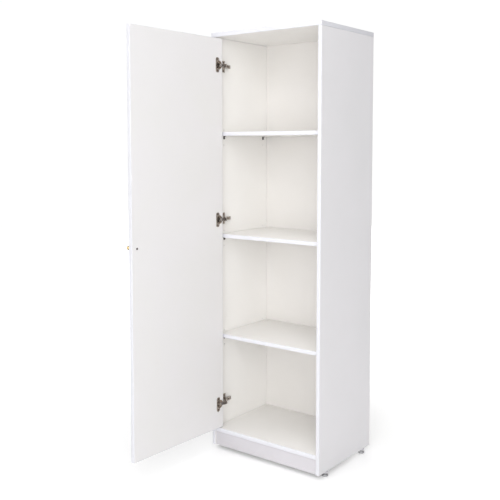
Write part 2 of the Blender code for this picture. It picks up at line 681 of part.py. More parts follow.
# ---------------------------------------------------------------- hinges
def make_cup(name, level):
    """Pressed cup: a bowl in the door with a rim and two wings on the door's inner face."""
    inner = CUP_RADIUS - CUP_WALL
    rim_radius = CUP_RADIUS + CUP_RIM_WIDTH
    rim_low = FIT
    rim_top = FIT + CUP_RIM_THICKNESS
    bowl_floor = CUP_WALL - CUP_DEPTH
    profile = [
        (0.0, bowl_floor),
        (inner, bowl_floor),
        (inner, rim_top),
        (rim_radius, rim_top),
        (rim_radius, rim_low),
        (CUP_RADIUS, rim_low),
        (CUP_RADIUS, -CUP_DEPTH),
        (0.0, -CUP_DEPTH),
    ]
    place = (CUP_CENTRE_X, DOOR_INNER_FACE, level)
    cup = turned_part(name, profile, place, make_material(name, NICKEL, 0.3, 1.0), DOOR_PIVOT,
                      (-math.pi / 2, 0, 0))
    wing = box_mesh(name + "_wing", (CUP_WING_WIDTH, CUP_WING_THICKNESS, CUP_WING_HEIGHT))
    wing_place = (CUP_CENTRE_X + CUP_WING_OFFSET, DOOR_INNER_FACE + FIT + CUP_WING_THICKNESS / 2, level)
    wing_tool = add_cutter(name + "_wing", wing, wing_place, DOOR_PIVOT)
    mouth = rod_mesh(name + "_mouth", (inner + CUP_RADIUS) / 2, 4 * CUP_RIM_THICKNESS, "Y")
    combine(wing_tool, add_cutter(name + "_mouth", mouth, place, DOOR_PIVOT), "DIFFERENCE")
    combine(cup, wing_tool, "UNION")


def link_meshes(name, line, side):
    """Strip, eye and bore of a flat link; the eye is at the origin, and side is +1 or -1."""
    middle = side * (LINK_SPLIT + LINK_WIDTH / 2)
    half_widths = [LINK_HALF_THICKNESS] * len(line)
    strip = plate_mesh(name, band_outline(line, half_widths), LINK_WIDTH)
    strip.transform(Matrix.Translation((0, 0, middle)))
    eye = rod_mesh(name + "_eye", LINK_EYE_RADIUS, LINK_WIDTH, "Z", PIN_SEGMENTS, ((0, 0, middle),))
    bore = rod_mesh(name + "_bore", PIN_RADIUS + PIN_SLACK, ARM_OUTER_WIDTH, "Z", PIN_SEGMENTS)
    return strip, eye, bore


def make_link(name, axis, pivot, level, line, side):
    """One link on its arm pivot; line starts at the pivot and ends inside the cup."""
    strip, eye, bore = link_meshes(name, line, side)
    place = axis + Vector((0, 0, level))
    link = add_part(name, strip, place, make_material(name, STEEL, 0.35, 1.0), pivot)
    combine(link, add_cutter(name + "_eye", eye, place, pivot), "UNION")
    combine(link, add_cutter(name + "_bore", bore, place, pivot), "DIFFERENCE")


# Middle lines of the two links with the door shut, from the link's own pivot: bends that clear the
# strip of door between the cup and the hinge edge through the whole swing.
OUTER_LINK_LINE = ((0.0, 0.0), (-0.0017, -0.0038), (-0.0050, -0.0060), (-0.0100, -0.0067),
                   (-0.0145, -0.0050), (-0.0162, -0.0015))
INNER_LINK_LINE = ((0.0, 0.0), (-0.0025, -0.0065), (-0.0065, -0.0120), (-0.0120, -0.0154),
                   (-0.0170, -0.0154), (-0.0196, -0.0125))


def arm_line():
    """Middle line of the arm, from the outer link's pivot back along the mounting plate."""
    base_x = INNER_LEFT + ARM_BASE_RISE
    outer = (OUTER_AXIS.x, OUTER_AXIS.y)
    inner = (INNER_AXIS.x, INNER_AXIS.y)
    neck = (INNER_AXIS.x - ARM_NECK_LEAN, INNER_AXIS.y + ARM_NECK_LENGTH)
    bend = (base_x + ARM_CRANK_RISE, FRONT + ARM_CRANK_SETBACK)
    foot = (base_x, FRONT + ARM_FLAT_SETBACK)
    tail = (base_x, FRONT + ARM_TAIL_SETBACK)
    points = (outer, inner, neck, bend, foot, tail)
    tip = ARM_TIP_HALF_DEPTH
    base = ARM_HALF_DEPTH
    half_depths = (tip, tip, ARM_NECK_HALF_DEPTH, base, base, base)
    return points, half_depths


def make_arm(name, level):
    """Cranked channel: a web with two cheeks, forked at the tip to hold the links."""
    points, half_depths = arm_line()
    place = (0, 0, level)
    arm = add_part(name, plate_mesh(name, band_outline(points, half_depths), ARM_OUTER_WIDTH), place,
                   make_material(name, NICKEL, 0.3, 1.0))
    inside = ARM_OUTER_WIDTH - 2 * ARM_WALL
    slot_front = OUTER_AXIS.y - 2 * ARM_TIP_HALF_DEPTH
    slot_rear = INNER_AXIS.y + ARM_FORK_DEPTH
    slot = box_mesh(name + "_fork", (6 * ARM_HALF_DEPTH, slot_rear - slot_front, inside))
    slot_place = (INNER_AXIS.x, (slot_front + slot_rear) / 2, level)
    combine(arm, add_cutter(name + "_fork", slot, slot_place), "DIFFERENCE")

    run = points[1:] + ((points[-1][0], points[-1][1] + 2 * ARM_HALF_DEPTH),)
    depths = half_depths[1:] + (ARM_HALF_DEPTH,)
    towards_side = side_points(run, [depth + 2 * ARM_WEB for depth in depths])
    under_web = side_points(run, [ARM_WEB - depth for depth in depths])
    hollow = [(point.x, point.y) for point in under_web + list(reversed(towards_side))]
    combine(arm, add_cutter(name + "_hollow", plate_mesh(name + "_hollow", hollow, inside), place),
            "DIFFERENCE")

    # The outer link's pin is a stub in the upper cheek, because the inner link swings below it.
    centres = ((OUTER_AXIS.x, OUTER_AXIS.y, ARM_OUTER_WIDTH / 2), (INNER_AXIS.x, INNER_AXIS.y, 0))
    for centre, length, label in zip(centres, (ARM_OUTER_WIDTH, 2 * ARM_OUTER_WIDTH), ("stub", "pin")):
        bore = rod_mesh(name + label, PIN_RADIUS + PIN_SLACK, length, "Z", PIN_SEGMENTS, (centre,))
        combine(arm, add_cutter(name + "_" + label + "_bore", bore, place), "DIFFERENCE")
    combine(arm, arm_screw_bore(name + "_screw_bore", level), "DIFFERENCE")


def arm_screw_bore(name, level):
    """Cutter for the screw's way through the arm's web and into the plate's bar."""
    web_outside = INNER_LEFT + ARM_BASE_RISE + ARM_HALF_DEPTH
    reach = ARM_SCREW_LENGTH + FIT
    bore = rod_mesh(name, ARM_SCREW_RADIUS + ARM_SCREW_SLACK, 2 * reach, "X", SMALL_SEGMENTS)
    return add_cutter(name, bore, (web_outside, FRONT + ARM_SCREW_SETBACK, level))


def make_mounting_plate(name, level):
    """Cross-shaped plate on the left side: two wings, and a bar that the arm straddles."""
    near = INNER_LEFT + FIT
    bar_top = INNER_LEFT + ARM_BASE_RISE + ARM_HALF_DEPTH - ARM_WEB - 2 * FIT
    bar = box_mesh(name, (bar_top - near, PLATE_BAR_REAR - PLATE_BAR_FRONT, 2 * PLATE_BAR_HALF_WIDTH))
    bar_place = ((near + bar_top) / 2, FRONT + (PLATE_BAR_FRONT + PLATE_BAR_REAR) / 2, level)
    plate = add_part(name, bar, bar_place, make_material(name, NICKEL, 0.35, 1.0))
    wing = box_mesh(name + "_wing", (PLATE_THICKNESS, PLATE_WING_WIDTH, PLATE_WING_HEIGHT))
    wing_place = (near + PLATE_THICKNESS / 2, FRONT + PLATE_SETBACK, level)
    combine(plate, add_cutter(name + "_wing", wing, wing_place), "UNION")
    combine(plate, arm_screw_bore(name + "_screw_bore", level), "DIFFERENCE")


def make_arm_screw(name, level):
    """Screw that clamps the arm to its plate."""
    profile = [
        (0.0, FIT + ARM_SCREW_HEAD_HEIGHT),
        (ARM_SCREW_HEAD_RADIUS, FIT + ARM_SCREW_HEAD_HEIGHT),
        (ARM_SCREW_HEAD_RADIUS, FIT),
        (ARM_SCREW_RADIUS, FIT),
        (ARM_SCREW_RADIUS, -ARM_SCREW_LENGTH),
        (0.0, -ARM_SCREW_LENGTH),
    ]
    web_outside = INNER_LEFT + ARM_BASE_RISE + ARM_HALF_DEPTH
    turned_part(name, profile, (web_outside, FRONT + ARM_SCREW_SETBACK, level),
                make_material(name, STEEL, 0.35, 1.0), rotation=(0, math.pi / 2, 0),
                segments=SMALL_SEGMENTS)


def make_pin(name, axis, low, high):
    """Riveted pin of one link, between two levels."""
    mesh = rod_mesh(name, PIN_RADIUS, high - low, "Z", PIN_SEGMENTS)
    middle = Vector((0, 0, (low + high) / 2))
    add_part(name, mesh, axis + middle, make_material(name, STEEL, 0.3, 1.0))


def make_hinge(place, level):
    """Everything of one hinge: cup, arm, plate, links, pins and clamping screw."""
    stem = "hinge_" + place
    make_cup(stem + "_cup", level)
    make_arm(stem + "_arm", level)
    make_mounting_plate(stem + "_plate", level)
    make_arm_screw(stem + "_arm_screw", level)
    make_link(stem + "_outer_link", OUTER_AXIS, OUTER_PIVOT, level, OUTER_LINK_LINE, 1)
    make_link(stem + "_inner_link", INNER_AXIS, INNER_PIVOT, level, INNER_LINK_LINE, -1)
    cheek = ARM_OUTER_WIDTH / 2
    make_pin(stem + "_outer_pin", OUTER_AXIS, level + LINK_SPLIT, level + cheek)
    make_pin(stem + "_inner_pin", INNER_AXIS, level - cheek, level + cheek)


# ---------------------------------------------------------------- the whole cabinet
make_carcass()
make_shelves()
for foot_name, _, foot_x, foot_y in foot_places():
    make_foot(foot_name, foot_x, foot_y)
make_door()
make_knob()
make_knob_screw()
make_door_stop()
for hinge_name, hinge_level in HINGE_LEVELS.items():
    make_hinge(hinge_name, hinge_level)
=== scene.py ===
"""Locker cabinet in white board: its pieces and finishes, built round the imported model.

The cabinet's front faces -Y, +Z is up and every length is in metres. Each sub-assembly is a class
whose fields are its sizes. Door pieces are modelled on the shut door and then swung open with it.
"""

import json
import logging
import math
from dataclasses import dataclass
from enum import Enum
from typing import Callable, Iterable, Sequence

import bmesh
import bpy
from mathutils import Matrix, Vector


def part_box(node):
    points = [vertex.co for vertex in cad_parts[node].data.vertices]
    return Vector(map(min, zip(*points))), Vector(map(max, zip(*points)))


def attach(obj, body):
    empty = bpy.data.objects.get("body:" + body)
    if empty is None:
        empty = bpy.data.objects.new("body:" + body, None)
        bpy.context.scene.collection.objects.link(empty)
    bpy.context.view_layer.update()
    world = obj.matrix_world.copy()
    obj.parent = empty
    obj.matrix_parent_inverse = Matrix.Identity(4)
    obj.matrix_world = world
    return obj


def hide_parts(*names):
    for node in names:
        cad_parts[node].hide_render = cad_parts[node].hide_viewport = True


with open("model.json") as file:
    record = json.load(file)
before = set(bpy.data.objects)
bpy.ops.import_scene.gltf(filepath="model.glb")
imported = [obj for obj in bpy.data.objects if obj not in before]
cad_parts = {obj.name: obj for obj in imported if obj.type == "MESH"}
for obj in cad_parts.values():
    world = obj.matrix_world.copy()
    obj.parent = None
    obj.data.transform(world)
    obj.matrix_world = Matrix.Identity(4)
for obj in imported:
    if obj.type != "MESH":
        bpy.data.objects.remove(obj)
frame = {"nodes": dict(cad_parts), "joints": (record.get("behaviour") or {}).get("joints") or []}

LOG = logging.getLogger("locker_cabinet")

Piece = bpy.types.Object
Material = bpy.types.Material
Tree = bpy.types.NodeTree
Node = bpy.types.Node
Profile = Sequence[tuple[float, float]]
ElementTest = Callable[[object], bool]

SMOOTH_LIMIT = math.radians(38)
SHARP_LIMIT = math.radians(40)
FLAT_LIMIT = math.radians(1)
ALIGNED = 0.99                   # cosine above which two directions count as one
WELD = 0.00001
FIT = 0.0003
LEVELS = ("top", "middle", "bottom")
COLUMNS = ("left", "right")
ROWS = ("front", "rear")


# ---- bench tools
class Pick(Enum):
    """What an edit-mode selection is made of."""

    EDGE = "EDGE"
    FACE = "FACE"


class Facing(Enum):
    """A direction that a board's edge or a fitting faces."""

    LEFT = (-1.0, 0.0, 0.0)
    RIGHT = (1.0, 0.0, 0.0)
    FRONT = (0.0, -1.0, 0.0)
    REAR = (0.0, 1.0, 0.0)
    DOWN = (0.0, 0.0, -1.0)
    UP = (0.0, 0.0, 1.0)

    @property
    def vector(self) -> Vector:
        """The direction as a vector."""
        return Vector(self.value)

    @property
    def turn(self) -> Matrix:
        """The turn that takes +Z to this direction."""
        return Vector((0.0, 0.0, 1.0)).rotation_difference(self.vector).to_matrix().to_4x4()


def lay_down() -> None:
    """Leave edit mode and deselect every object."""
    active = bpy.context.view_layer.objects.active
    if active is not None and active.mode != "OBJECT":
        bpy.ops.object.mode_set(mode="OBJECT")
    bpy.ops.object.select_all(action="DESELECT")


def take_up(piece: Piece) -> None:
    """Make one piece the only selected and active object.

    Args:
        piece: The piece to take up.
    """
    lay_down()
    piece.select_set(True)
    bpy.context.view_layer.objects.active = piece


def settle(piece: Piece) -> None:
    """Apply the object's place, turn and size to its mesh."""
    take_up(piece)
    bpy.ops.object.transform_apply(location=True, rotation=True, scale=True)


def move_by(piece: Piece, matrix: Matrix) -> None:
    """Move a settled piece by a matrix and settle it again."""
    piece.matrix_world = matrix
    settle(piece)


def open_up(piece: Piece, pick: Pick, test: ElementTest) -> None:
    """Enter edit mode with only some edges or faces selected.

    Args:
        piece: The piece to work on.
        pick: Whether edges or faces are selected.
        test: Says of each element whether it is selected.
    """
    take_up(piece)
    bpy.ops.object.mode_set(mode="EDIT")
    bpy.ops.mesh.select_mode(type=pick.value)
    bpy.ops.mesh.select_all(action="DESELECT")
    cage = bmesh.from_edit_mesh(piece.data)
    for element in cage.edges if pick is Pick.EDGE else cage.faces:
        element.select_set(test(element))
    cage.select_flush_mode()
    bmesh.update_edit_mesh(piece.data)


def every(_element: object) -> bool:
    """Pass every element."""
    return True


def runs_along(facing: Facing) -> ElementTest:
    """Make a test for edges that run along a direction.

    Args:
        facing: The direction, either way along it.

    Returns:
        The test.
    """
    axis = facing.vector

    def test(edge: bmesh.types.BMEdge) -> bool:
        """Say whether the edge runs along the axis."""
        run = edge.verts[1].co - edge.verts[0].co
        return abs(run.normalized().dot(axis)) > ALIGNED

    return test


def ease_edges(piece: Piece, width: float, segments: int, test: ElementTest = every) -> None:
    """Round the chosen edges of a piece.

    Args:
        piece: The piece to work on.
        width: Width of the rounding.
        segments: Faces across the rounding.
        test: Says of each edge whether it is rounded.
    """
    open_up(piece, Pick.EDGE, test)
    bpy.ops.mesh.bevel(offset=width, segments=segments, affect="EDGES", clamp_overlap=True)
    bpy.ops.object.mode_set(mode="OBJECT")


def ease_sharp_edges(piece: Piece, width: float, segments: int = 2) -> None:
    """Round every sharp edge with a Bevel modifier, and apply it.

    Args:
        piece: The piece to work on.
        width: Width of the rounding.
        segments: Faces across the rounding.
    """
    take_up(piece)
    modifier = piece.modifiers.new("eased", "BEVEL")
    modifier.width = width
    modifier.segments = segments
    modifier.limit_method = "ANGLE"
    modifier.angle_limit = SHARP_LIMIT
    modifier.use_clamp_overlap = True
    bpy.ops.object.modifier_apply(modifier=modifier.name)


def add_block(name: str, low: Sequence[float], high: Sequence[float]) -> Piece:
    """Add a block between two opposite corners.

    Args:
        name: The block's name.
        low: Its lowest corner.
        high: Its highest corner.

    Returns:
        The block, with its place in its mesh.
    """
    lay_down()
    size = Vector(high) - Vector(low)
    middle = (Vector(high) + Vector(low)) / 2
    bpy.ops.mesh.primitive_cube_add(size=1.0, location=middle, scale=size)
    block = bpy.context.object
    block.name = name
    settle(block)
    return block


def add_turning(name: str, profile: Profile, segments: int = 48) -> Piece:
    """Turn a closed solid about Z by drawing a disc out ring by ring.

    Args:
        name: The piece's name.
        profile: Radius and height of each ring, from one end of the solid to the other.
        segments: Sides of each ring.

    Returns:
        The turned piece, standing on the origin's axis.
    """
    radius, level = profile[0]
    lay_down()
    bpy.ops.mesh.primitive_circle_add(vertices=segments, radius=radius, fill_type="NGON")
    piece = bpy.context.object
    piece.name = name
    piece.location = (0.0, 0.0, level)
    settle(piece)
    open_up(piece, Pick.FACE, every)
    for next_radius, next_level in profile[1:]:
        rise = (0.0, 0.0, next_level - level)
        bpy.ops.mesh.extrude_region_move(TRANSFORM_OT_translate={"value": rise})
        ratio = next_radius / radius
        centre = (0.0, 0.0, next_level)
        bpy.ops.transform.resize(value=(ratio, ratio, 1.0), center_override=centre)
        radius, level = next_radius, next_level
    bpy.ops.mesh.select_all(action="SELECT")
    bpy.ops.mesh.normals_make_consistent(inside=False)
    bpy.ops.object.mode_set(mode="OBJECT")
    return piece


def combine(piece: Piece, tool: Piece, operation: str) -> None:
    """Cut or join a piece with a tool, which is used up.

    Args:
        piece: The piece that stays.
        tool: The solid that cuts it or joins it.
        operation: DIFFERENCE or UNION.
    """
    take_up(piece)
    modifier = piece.modifiers.new("worked", "BOOLEAN")
    modifier.operation = operation
    modifier.object = tool
    modifier.solver = "EXACT"
    bpy.ops.object.modifier_apply(modifier=modifier.name)
    bpy.data.objects.remove(tool, do_unlink=True)


def drill(piece: Piece, places: Iterable[Vector], radius: float, depth: float,
          facing: Facing, sides: int = 24) -> None:
    """Drill blind holes into a face of a piece.

    Args:
        piece: The piece to drill.
        places: The middle of each hole's mouth.
        radius: The holes' radius.
        depth: The holes' depth.
        facing: The direction that the drilled face faces.
        sides: Sides of each hole.
    """
    for place in places:
        bit = add_turning("bit", ((radius, -depth), (radius, depth)), sides)
        move_by(bit, Matrix.Translation(place) @ facing.turn)
        combine(piece, bit, "DIFFERENCE")


def copy_by(piece: Piece, name: str, matrix: Matrix) -> Piece:
    """Copy a settled piece with a mesh of its own.

    Args:
        piece: The piece to copy.
        name: The copy's name.
        matrix: How the copy is moved.

    Returns:
        The copy, settled in its place.
    """
    take_up(piece)
    bpy.ops.object.duplicate(linked=False)
    copy = bpy.context.object
    copy.name = name
    move_by(copy, matrix)
    return copy


def refined_copy(node: str, name: str, width: float) -> Piece:
    """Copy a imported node, weld its loose triangles and round its sharp edges.

    Args:
        node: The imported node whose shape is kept.
        name: The new piece's name.
        width: Width of the rounding.

    Returns:
        The refined piece.
    """
    take_up(frame["nodes"][node])
    bpy.ops.object.duplicate(linked=False)
    piece = bpy.context.object
    piece.name = name
    piece.parent = None
    piece.matrix_world = Matrix.Identity(4)
    for key in list(piece.keys()):
        del piece[key]
    piece.data.materials.clear()
    bpy.ops.mesh.customdata_custom_splitnormals_clear()
    open_up(piece, Pick.FACE, every)
    bpy.ops.mesh.remove_doubles(threshold=WELD)
    bpy.ops.mesh.dissolve_limited(angle_limit=FLAT_LIMIT)
    bpy.ops.object.mode_set(mode="OBJECT")
    ease_sharp_edges(piece, width)
    return piece


# ---- shared node groups
Sockets = Sequence[tuple[str, str]]


def new_group(name: str, inputs: Sockets, outputs: Sockets) -> Tree:
    """Make a shader node group with named sockets.

    Args:
        name: The group's name.
        inputs: Name and socket type of each input.
        outputs: Name and socket type of each output.

    Returns:
        The group's tree, with its input and output nodes.
    """
    tree = bpy.data.node_groups.new(name, "ShaderNodeTree")
    for label, kind in inputs:
        tree.interface.new_socket(name=label, in_out="INPUT", socket_type=kind)
    for label, kind in outputs:
        tree.interface.new_socket(name=label, in_out="OUTPUT", socket_type=kind)
    tree.nodes.new("NodeGroupInput")
    tree.nodes.new("NodeGroupOutput")
    return tree


def add_noise(tree: Tree, stretch: Sequence[float] = (1.0, 1.0, 1.0),
              detail: float = 3.0) -> Node:
    """Add noise on Object coordinates, scaled by the group's Scale input if it has one.

    Args:
        tree: The group's tree.
        stretch: How the noise is stretched along the axes.
        detail: Octaves of the noise.

    Returns:
        The noise node.
    """
    nodes, links = tree.nodes, tree.links
    place = nodes.new("ShaderNodeTexCoord")
    mapping = nodes.new("ShaderNodeMapping")
    mapping.inputs["Scale"].default_value = stretch
    noise = nodes.new("ShaderNodeTexNoise")
    noise.inputs["Detail"].default_value = detail
    links.new(place.outputs["Object"], mapping.inputs["Vector"])
    links.new(mapping.outputs["Vector"], noise.inputs["Vector"])
    scale = nodes["Group Input"].outputs.get("Scale")
    if scale is not None:
        links.new(scale, noise.inputs["Scale"])
    return noise


def add_range(tree: Tree, value: bpy.types.NodeSocket,
              low: float = 0.3, high: float = 0.7) -> Node:
    """Add a node that maps a value between two limits to 0 to 1.

    Args:
        tree: The group's tree.
        value: The socket that puts the value out.
        low: The value that becomes 0.
        high: The value that becomes 1.

    Returns:
        The mapping node.
    """
    spread = tree.nodes.new("ShaderNodeMapRange")
    spread.inputs["From Min"].default_value = low
    spread.inputs["From Max"].default_value = high
    tree.links.new(value, spread.inputs["Value"])
    return spread


def mix_colours(tree: Tree, mask: bpy.types.NodeSocket, second: str) -> None:
    """Mix the group's colour with its second one by a mask, and put the mix out.

    Args:
        tree: The group's tree.
        mask: The socket that puts out how much of the second colour shows.
        second: Name of the second colour's input.
    """
    entry, leave = tree.nodes["Group Input"], tree.nodes["Group Output"]
    mix = tree.nodes.new("ShaderNodeMix")
    mix.data_type = "RGBA"
    tree.links.new(mask, mix.inputs["Factor"])
    tree.links.new(entry.outputs["Colour"], mix.inputs["A"])
    tree.links.new(entry.outputs[second], mix.inputs["B"])
    for socket in mix.outputs:
        if socket.type == "RGBA":
            tree.links.new(socket, leave.inputs["Colour"])


FLOAT = "NodeSocketFloat"
COLOUR = "NodeSocketColor"
VECTOR = "NodeSocketVector"


def mottle_group() -> Tree:
    """Slow drift between a colour and a second one, as in printed paper or plating; on the nickel
    finish its bright patches are painted reflection.

    Returns:
        A group that puts out a colour.
    """
    tree = new_group("colour_drift", (("Colour", COLOUR), ("Second", COLOUR), ("Scale", FLOAT)),
                     (("Colour", COLOUR),))
    noise = add_noise(tree)
    mix_colours(tree, add_range(tree, noise.outputs["Fac"]).outputs["Result"], "Second")
    return tree


def handling_group() -> Tree:
    """Roughness that varies with wiping and handling.

    Returns:
        A group that puts out a roughness.
    """
    tree = new_group("handling", (("Lowest", FLOAT), ("Highest", FLOAT), ("Scale", FLOAT)),
                     (("Roughness", FLOAT),))
    nodes, links = tree.nodes, tree.links
    entry, leave = nodes["Group Input"], nodes["Group Output"]
    noise = add_noise(tree, detail=5.0)
    spread = add_range(tree, noise.outputs["Fac"])
    links.new(entry.outputs["Lowest"], spread.inputs["To Min"])
    links.new(entry.outputs["Highest"], spread.inputs["To Max"])
    links.new(spread.outputs["Result"], leave.inputs["Roughness"])
    return tree


def texture_group(name: str, stretch: Sequence[float]) -> Tree:
    """A fine surface relief: pressed pearl on boards, or drawn grain on metal.

    Args:
        name: The group's name.
        stretch: How the relief is stretched along the axes.

    Returns:
        A group that puts out a normal.
    """
    tree = new_group(name, (("Scale", FLOAT), ("Depth", FLOAT)), (("Normal", VECTOR),))
    nodes, links = tree.nodes, tree.links
    entry, leave = nodes["Group Input"], nodes["Group Output"]
    noise = add_noise(tree, stretch)
    bump = nodes.new("ShaderNodeBump")
    links.new(noise.outputs["Fac"], bump.inputs["Height"])
    links.new(entry.outputs["Depth"], bump.inputs["Distance"])
    links.new(bump.outputs["Normal"], leave.inputs["Normal"])
    return tree


def floor_darkening_group() -> Tree:
    """Darkening towards a second, darker colour near the floor, fading out upwards and broken up by
    noise.

    Returns:
        A group that puts out a colour.
    """
    tree = new_group("floor_darkening", (("Colour", COLOUR), ("Dust", COLOUR), ("Top", FLOAT)),
                     (("Colour", COLOUR),))
    nodes, links = tree.nodes, tree.links
    entry = nodes["Group Input"]
    place = nodes.new("ShaderNodeTexCoord")
    split = nodes.new("ShaderNodeSeparateXYZ")
    links.new(place.outputs["Object"], split.inputs["Vector"])
    height = nodes.new("ShaderNodeMapRange")
    height.inputs["To Min"].default_value = 0.5
    height.inputs["To Max"].default_value = 0.0
    links.new(split.outputs["Z"], height.inputs["Value"])
    links.new(entry.outputs["Top"], height.inputs["From Max"])
    noise = add_noise(tree, detail=6.0)
    noise.inputs["Scale"].default_value = 22.0
    patch = nodes.new("ShaderNodeMath")
    patch.operation = "MULTIPLY"
    links.new(height.outputs["Result"], patch.inputs[0])
    links.new(noise.outputs["Fac"], patch.inputs[1])
    mix_colours(tree, patch.outputs["Value"], "Dust")
    return tree


# ---- finishes
class Relief(Enum):
    """The fine relief of a finish."""

    PEARL = "pearl_relief"
    DRAWN = "drawn_grain"


RELIEF_STRETCH = {Relief.PEARL: (1.0, 1.0, 1.0), Relief.DRAWN: (1.0, 1.0, 0.06)}


@dataclass(frozen=True)
class Finish:
    """One finish of the cabinet: a colour that drifts, a varying gloss and a fine relief."""

    name: str
    colour: tuple[float, float, float]
    second: tuple[float, float, float]
    gloss: tuple[float, float]
    metallic: float = 0.0
    relief: Relief = Relief.PEARL
    drift_scale: float = 5.0
    relief_scale: float = 900.0
    relief_depth: float = 0.00003
    coat: float = 0.0
    darkened_below: float = 0.0

    def material(self) -> Material:
        """Make this finish's material, or return it when it is made already."""
        made = bpy.data.materials.get(self.name)
        return made if made is not None else self._make()

    def _place_group(self, tree: Tree, group: str, **values: object) -> Node:
        """Place a shared group in the material.

        Args:
            tree: The material's tree.
            group: The group's name.
            values: What the group's inputs are set to.

        Returns:
            The group's node.
        """
        node = tree.nodes.new("ShaderNodeGroup")
        node.node_tree = bpy.data.node_groups[group]
        for label, value in values.items():
            node.inputs[label].default_value = value
        return node

    def _make(self) -> Material:
        """Build the node tree.

        Returns:
            The new material.
        """
        material = bpy.data.materials.new(self.name)
        material.use_nodes = True
        tree = material.node_tree
        shader = tree.nodes["Principled BSDF"]
        shader.inputs["Metallic"].default_value = self.metallic
        shader.inputs["Coat Weight"].default_value = self.coat
        drift = self._place_group(tree, "colour_drift", Colour=(*self.colour, 1.0),
                                  Second=(*self.second, 1.0), Scale=self.drift_scale)
        colour = drift.outputs["Colour"]
        # Darker towards the floor: the colour is mixed towards grey below a set height, broken up
        # by noise.
        if self.darkened_below > 0.0:
            darkening = self._place_group(tree, "floor_darkening", Dust=(0.50, 0.49, 0.48, 1.0),
                                     Top=self.darkened_below)
            tree.links.new(colour, darkening.inputs["Colour"])
            colour = darkening.outputs["Colour"]
        tree.links.new(colour, shader.inputs["Base Color"])
        handling = self._place_group(tree, "handling", Lowest=self.gloss[0],
                                     Highest=self.gloss[1], Scale=self.drift_scale * 3.0)
        tree.links.new(handling.outputs["Roughness"], shader.inputs["Roughness"])
        relief = self._place_group(tree, self.relief.value, Scale=self.relief_scale,
                                   Depth=self.relief_depth)
        tree.links.new(relief.outputs["Normal"], shader.inputs["Normal"])
        return material


# Outside faces take the carcass white. Inside faces, shelves and bottom take a lighter, warmer copy
# of the same melamine, which is painted light inside the cabinet.
CARCASS_WHITE = Finish("carcass_melamine", (0.80, 0.785, 0.805), (0.78, 0.77, 0.785), (0.34, 0.46))
INSIDE_WHITE_PAINTED_LIGHT = Finish("shelf_melamine_painted_light", (0.92, 0.905, 0.885), (0.905, 0.89, 0.865), (0.36, 0.48))
DOOR_WHITE = Finish("door_melamine", (0.785, 0.77, 0.78), (0.775, 0.765, 0.76), (0.32, 0.44))
BAND_WHITE = Finish("edge_band", (0.75, 0.75, 0.795), (0.735, 0.735, 0.775), (0.28, 0.38),
                    drift_scale=12.0, relief_depth=0.00001)
# The plinth's darker colour is painted shade, standing for the shade under the bottom board's
# overhang. It also gets darker towards the floor.
PLINTH_WHITE_PAINTED_SHADE = Finish("plinth_melamine_painted_shade", (0.65, 0.63, 0.665), (0.63, 0.61, 0.64), (0.36, 0.48),
                      darkened_below=0.09)
BACK_WHITE = Finish("back_melamine", (0.84, 0.82, 0.80), (0.82, 0.80, 0.775), (0.42, 0.55),
                    relief_scale=500.0)
# The nickel drifts between bright and dark patches. This is partly the plating's own uneven tone
# and partly painted reflection.
NICKEL_PAINTED_REFLECTION = Finish("nickel_plate_painted_reflection", (0.58, 0.53, 0.48), (0.28, 0.245, 0.22), (0.16, 0.32), 1.0,
                Relief.DRAWN, 90.0, 2600.0, 0.00001)
LINK_STEEL = Finish("zinc_steel", (0.22, 0.20, 0.19), (0.10, 0.09, 0.085), (0.20, 0.38), 1.0,
                    Relief.DRAWN, 120.0, 3000.0, 0.00001)
DARK_NICKEL = Finish("dark_nickel", (0.17, 0.15, 0.14), (0.08, 0.07, 0.065), (0.28, 0.42), 1.0,
                     Relief.DRAWN, 110.0, 2600.0, 0.00001)
SCREW_STEEL = Finish("screw_steel", (0.26, 0.21, 0.18), (0.12, 0.09, 0.08), (0.24, 0.38), 1.0,
                     Relief.DRAWN, 160.0, 3000.0, 0.00001)
# The foot steel also gets darker towards the floor.
FOOT_STEEL = Finish("foot_steel", (0.46, 0.46, 0.47), (0.33, 0.33, 0.34), (0.28, 0.42), 1.0,
                    Relief.DRAWN, 70.0, 1800.0, 0.00002, darkened_below=0.02)
GLIDE_WHITE = Finish("glide_nylon", (0.72, 0.72, 0.73), (0.62, 0.62, 0.62), (0.45, 0.60),
                     drift_scale=60.0, relief_scale=1500.0)
COLLAR_GREY = Finish("collar_plastic", (0.64, 0.63, 0.67), (0.58, 0.57, 0.60), (0.40, 0.52),
                     drift_scale=60.0, relief_scale=1500.0)
STOP_GREY = Finish("stop_rubber", (0.045, 0.045, 0.05), (0.03, 0.03, 0.033), (0.55, 0.75),
                   drift_scale=150.0, relief_scale=2500.0)
BRASS = Finish("knob_brass", (0.52, 0.36, 0.18), (0.38, 0.25, 0.11), (0.18, 0.32), 1.0,
               Relief.DRAWN, 110.0, 2200.0, 0.00001, coat=0.3)
BRONZE = Finish("screw_bronze", (0.055, 0.028, 0.020), (0.03, 0.016, 0.012), (0.34, 0.48), 0.6,
                Relief.DRAWN, 150.0, 2600.0, 0.00001)


def deliver(piece: Piece, finishes: Sequence[Finish], body: str, slot: str, *nodes: str) -> None:
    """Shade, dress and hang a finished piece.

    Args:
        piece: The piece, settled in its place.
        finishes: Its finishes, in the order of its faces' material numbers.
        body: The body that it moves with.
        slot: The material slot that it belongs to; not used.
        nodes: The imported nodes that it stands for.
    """
    take_up(piece)
    bpy.ops.object.shade_smooth_by_angle(angle=SMOOTH_LIMIT)
    for finish in finishes:
        piece.data.materials.append(finish.material())
    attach(piece, body)
    if nodes:
        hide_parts(*nodes)
    LOG.info("%s rides on %s with %d faces", piece.name, body, len(piece.data.polygons))


# ---- places read from the frame
def box_middle(node: str) -> Vector:
    """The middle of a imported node's box."""
    low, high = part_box(node)
    return (low + high) / 2


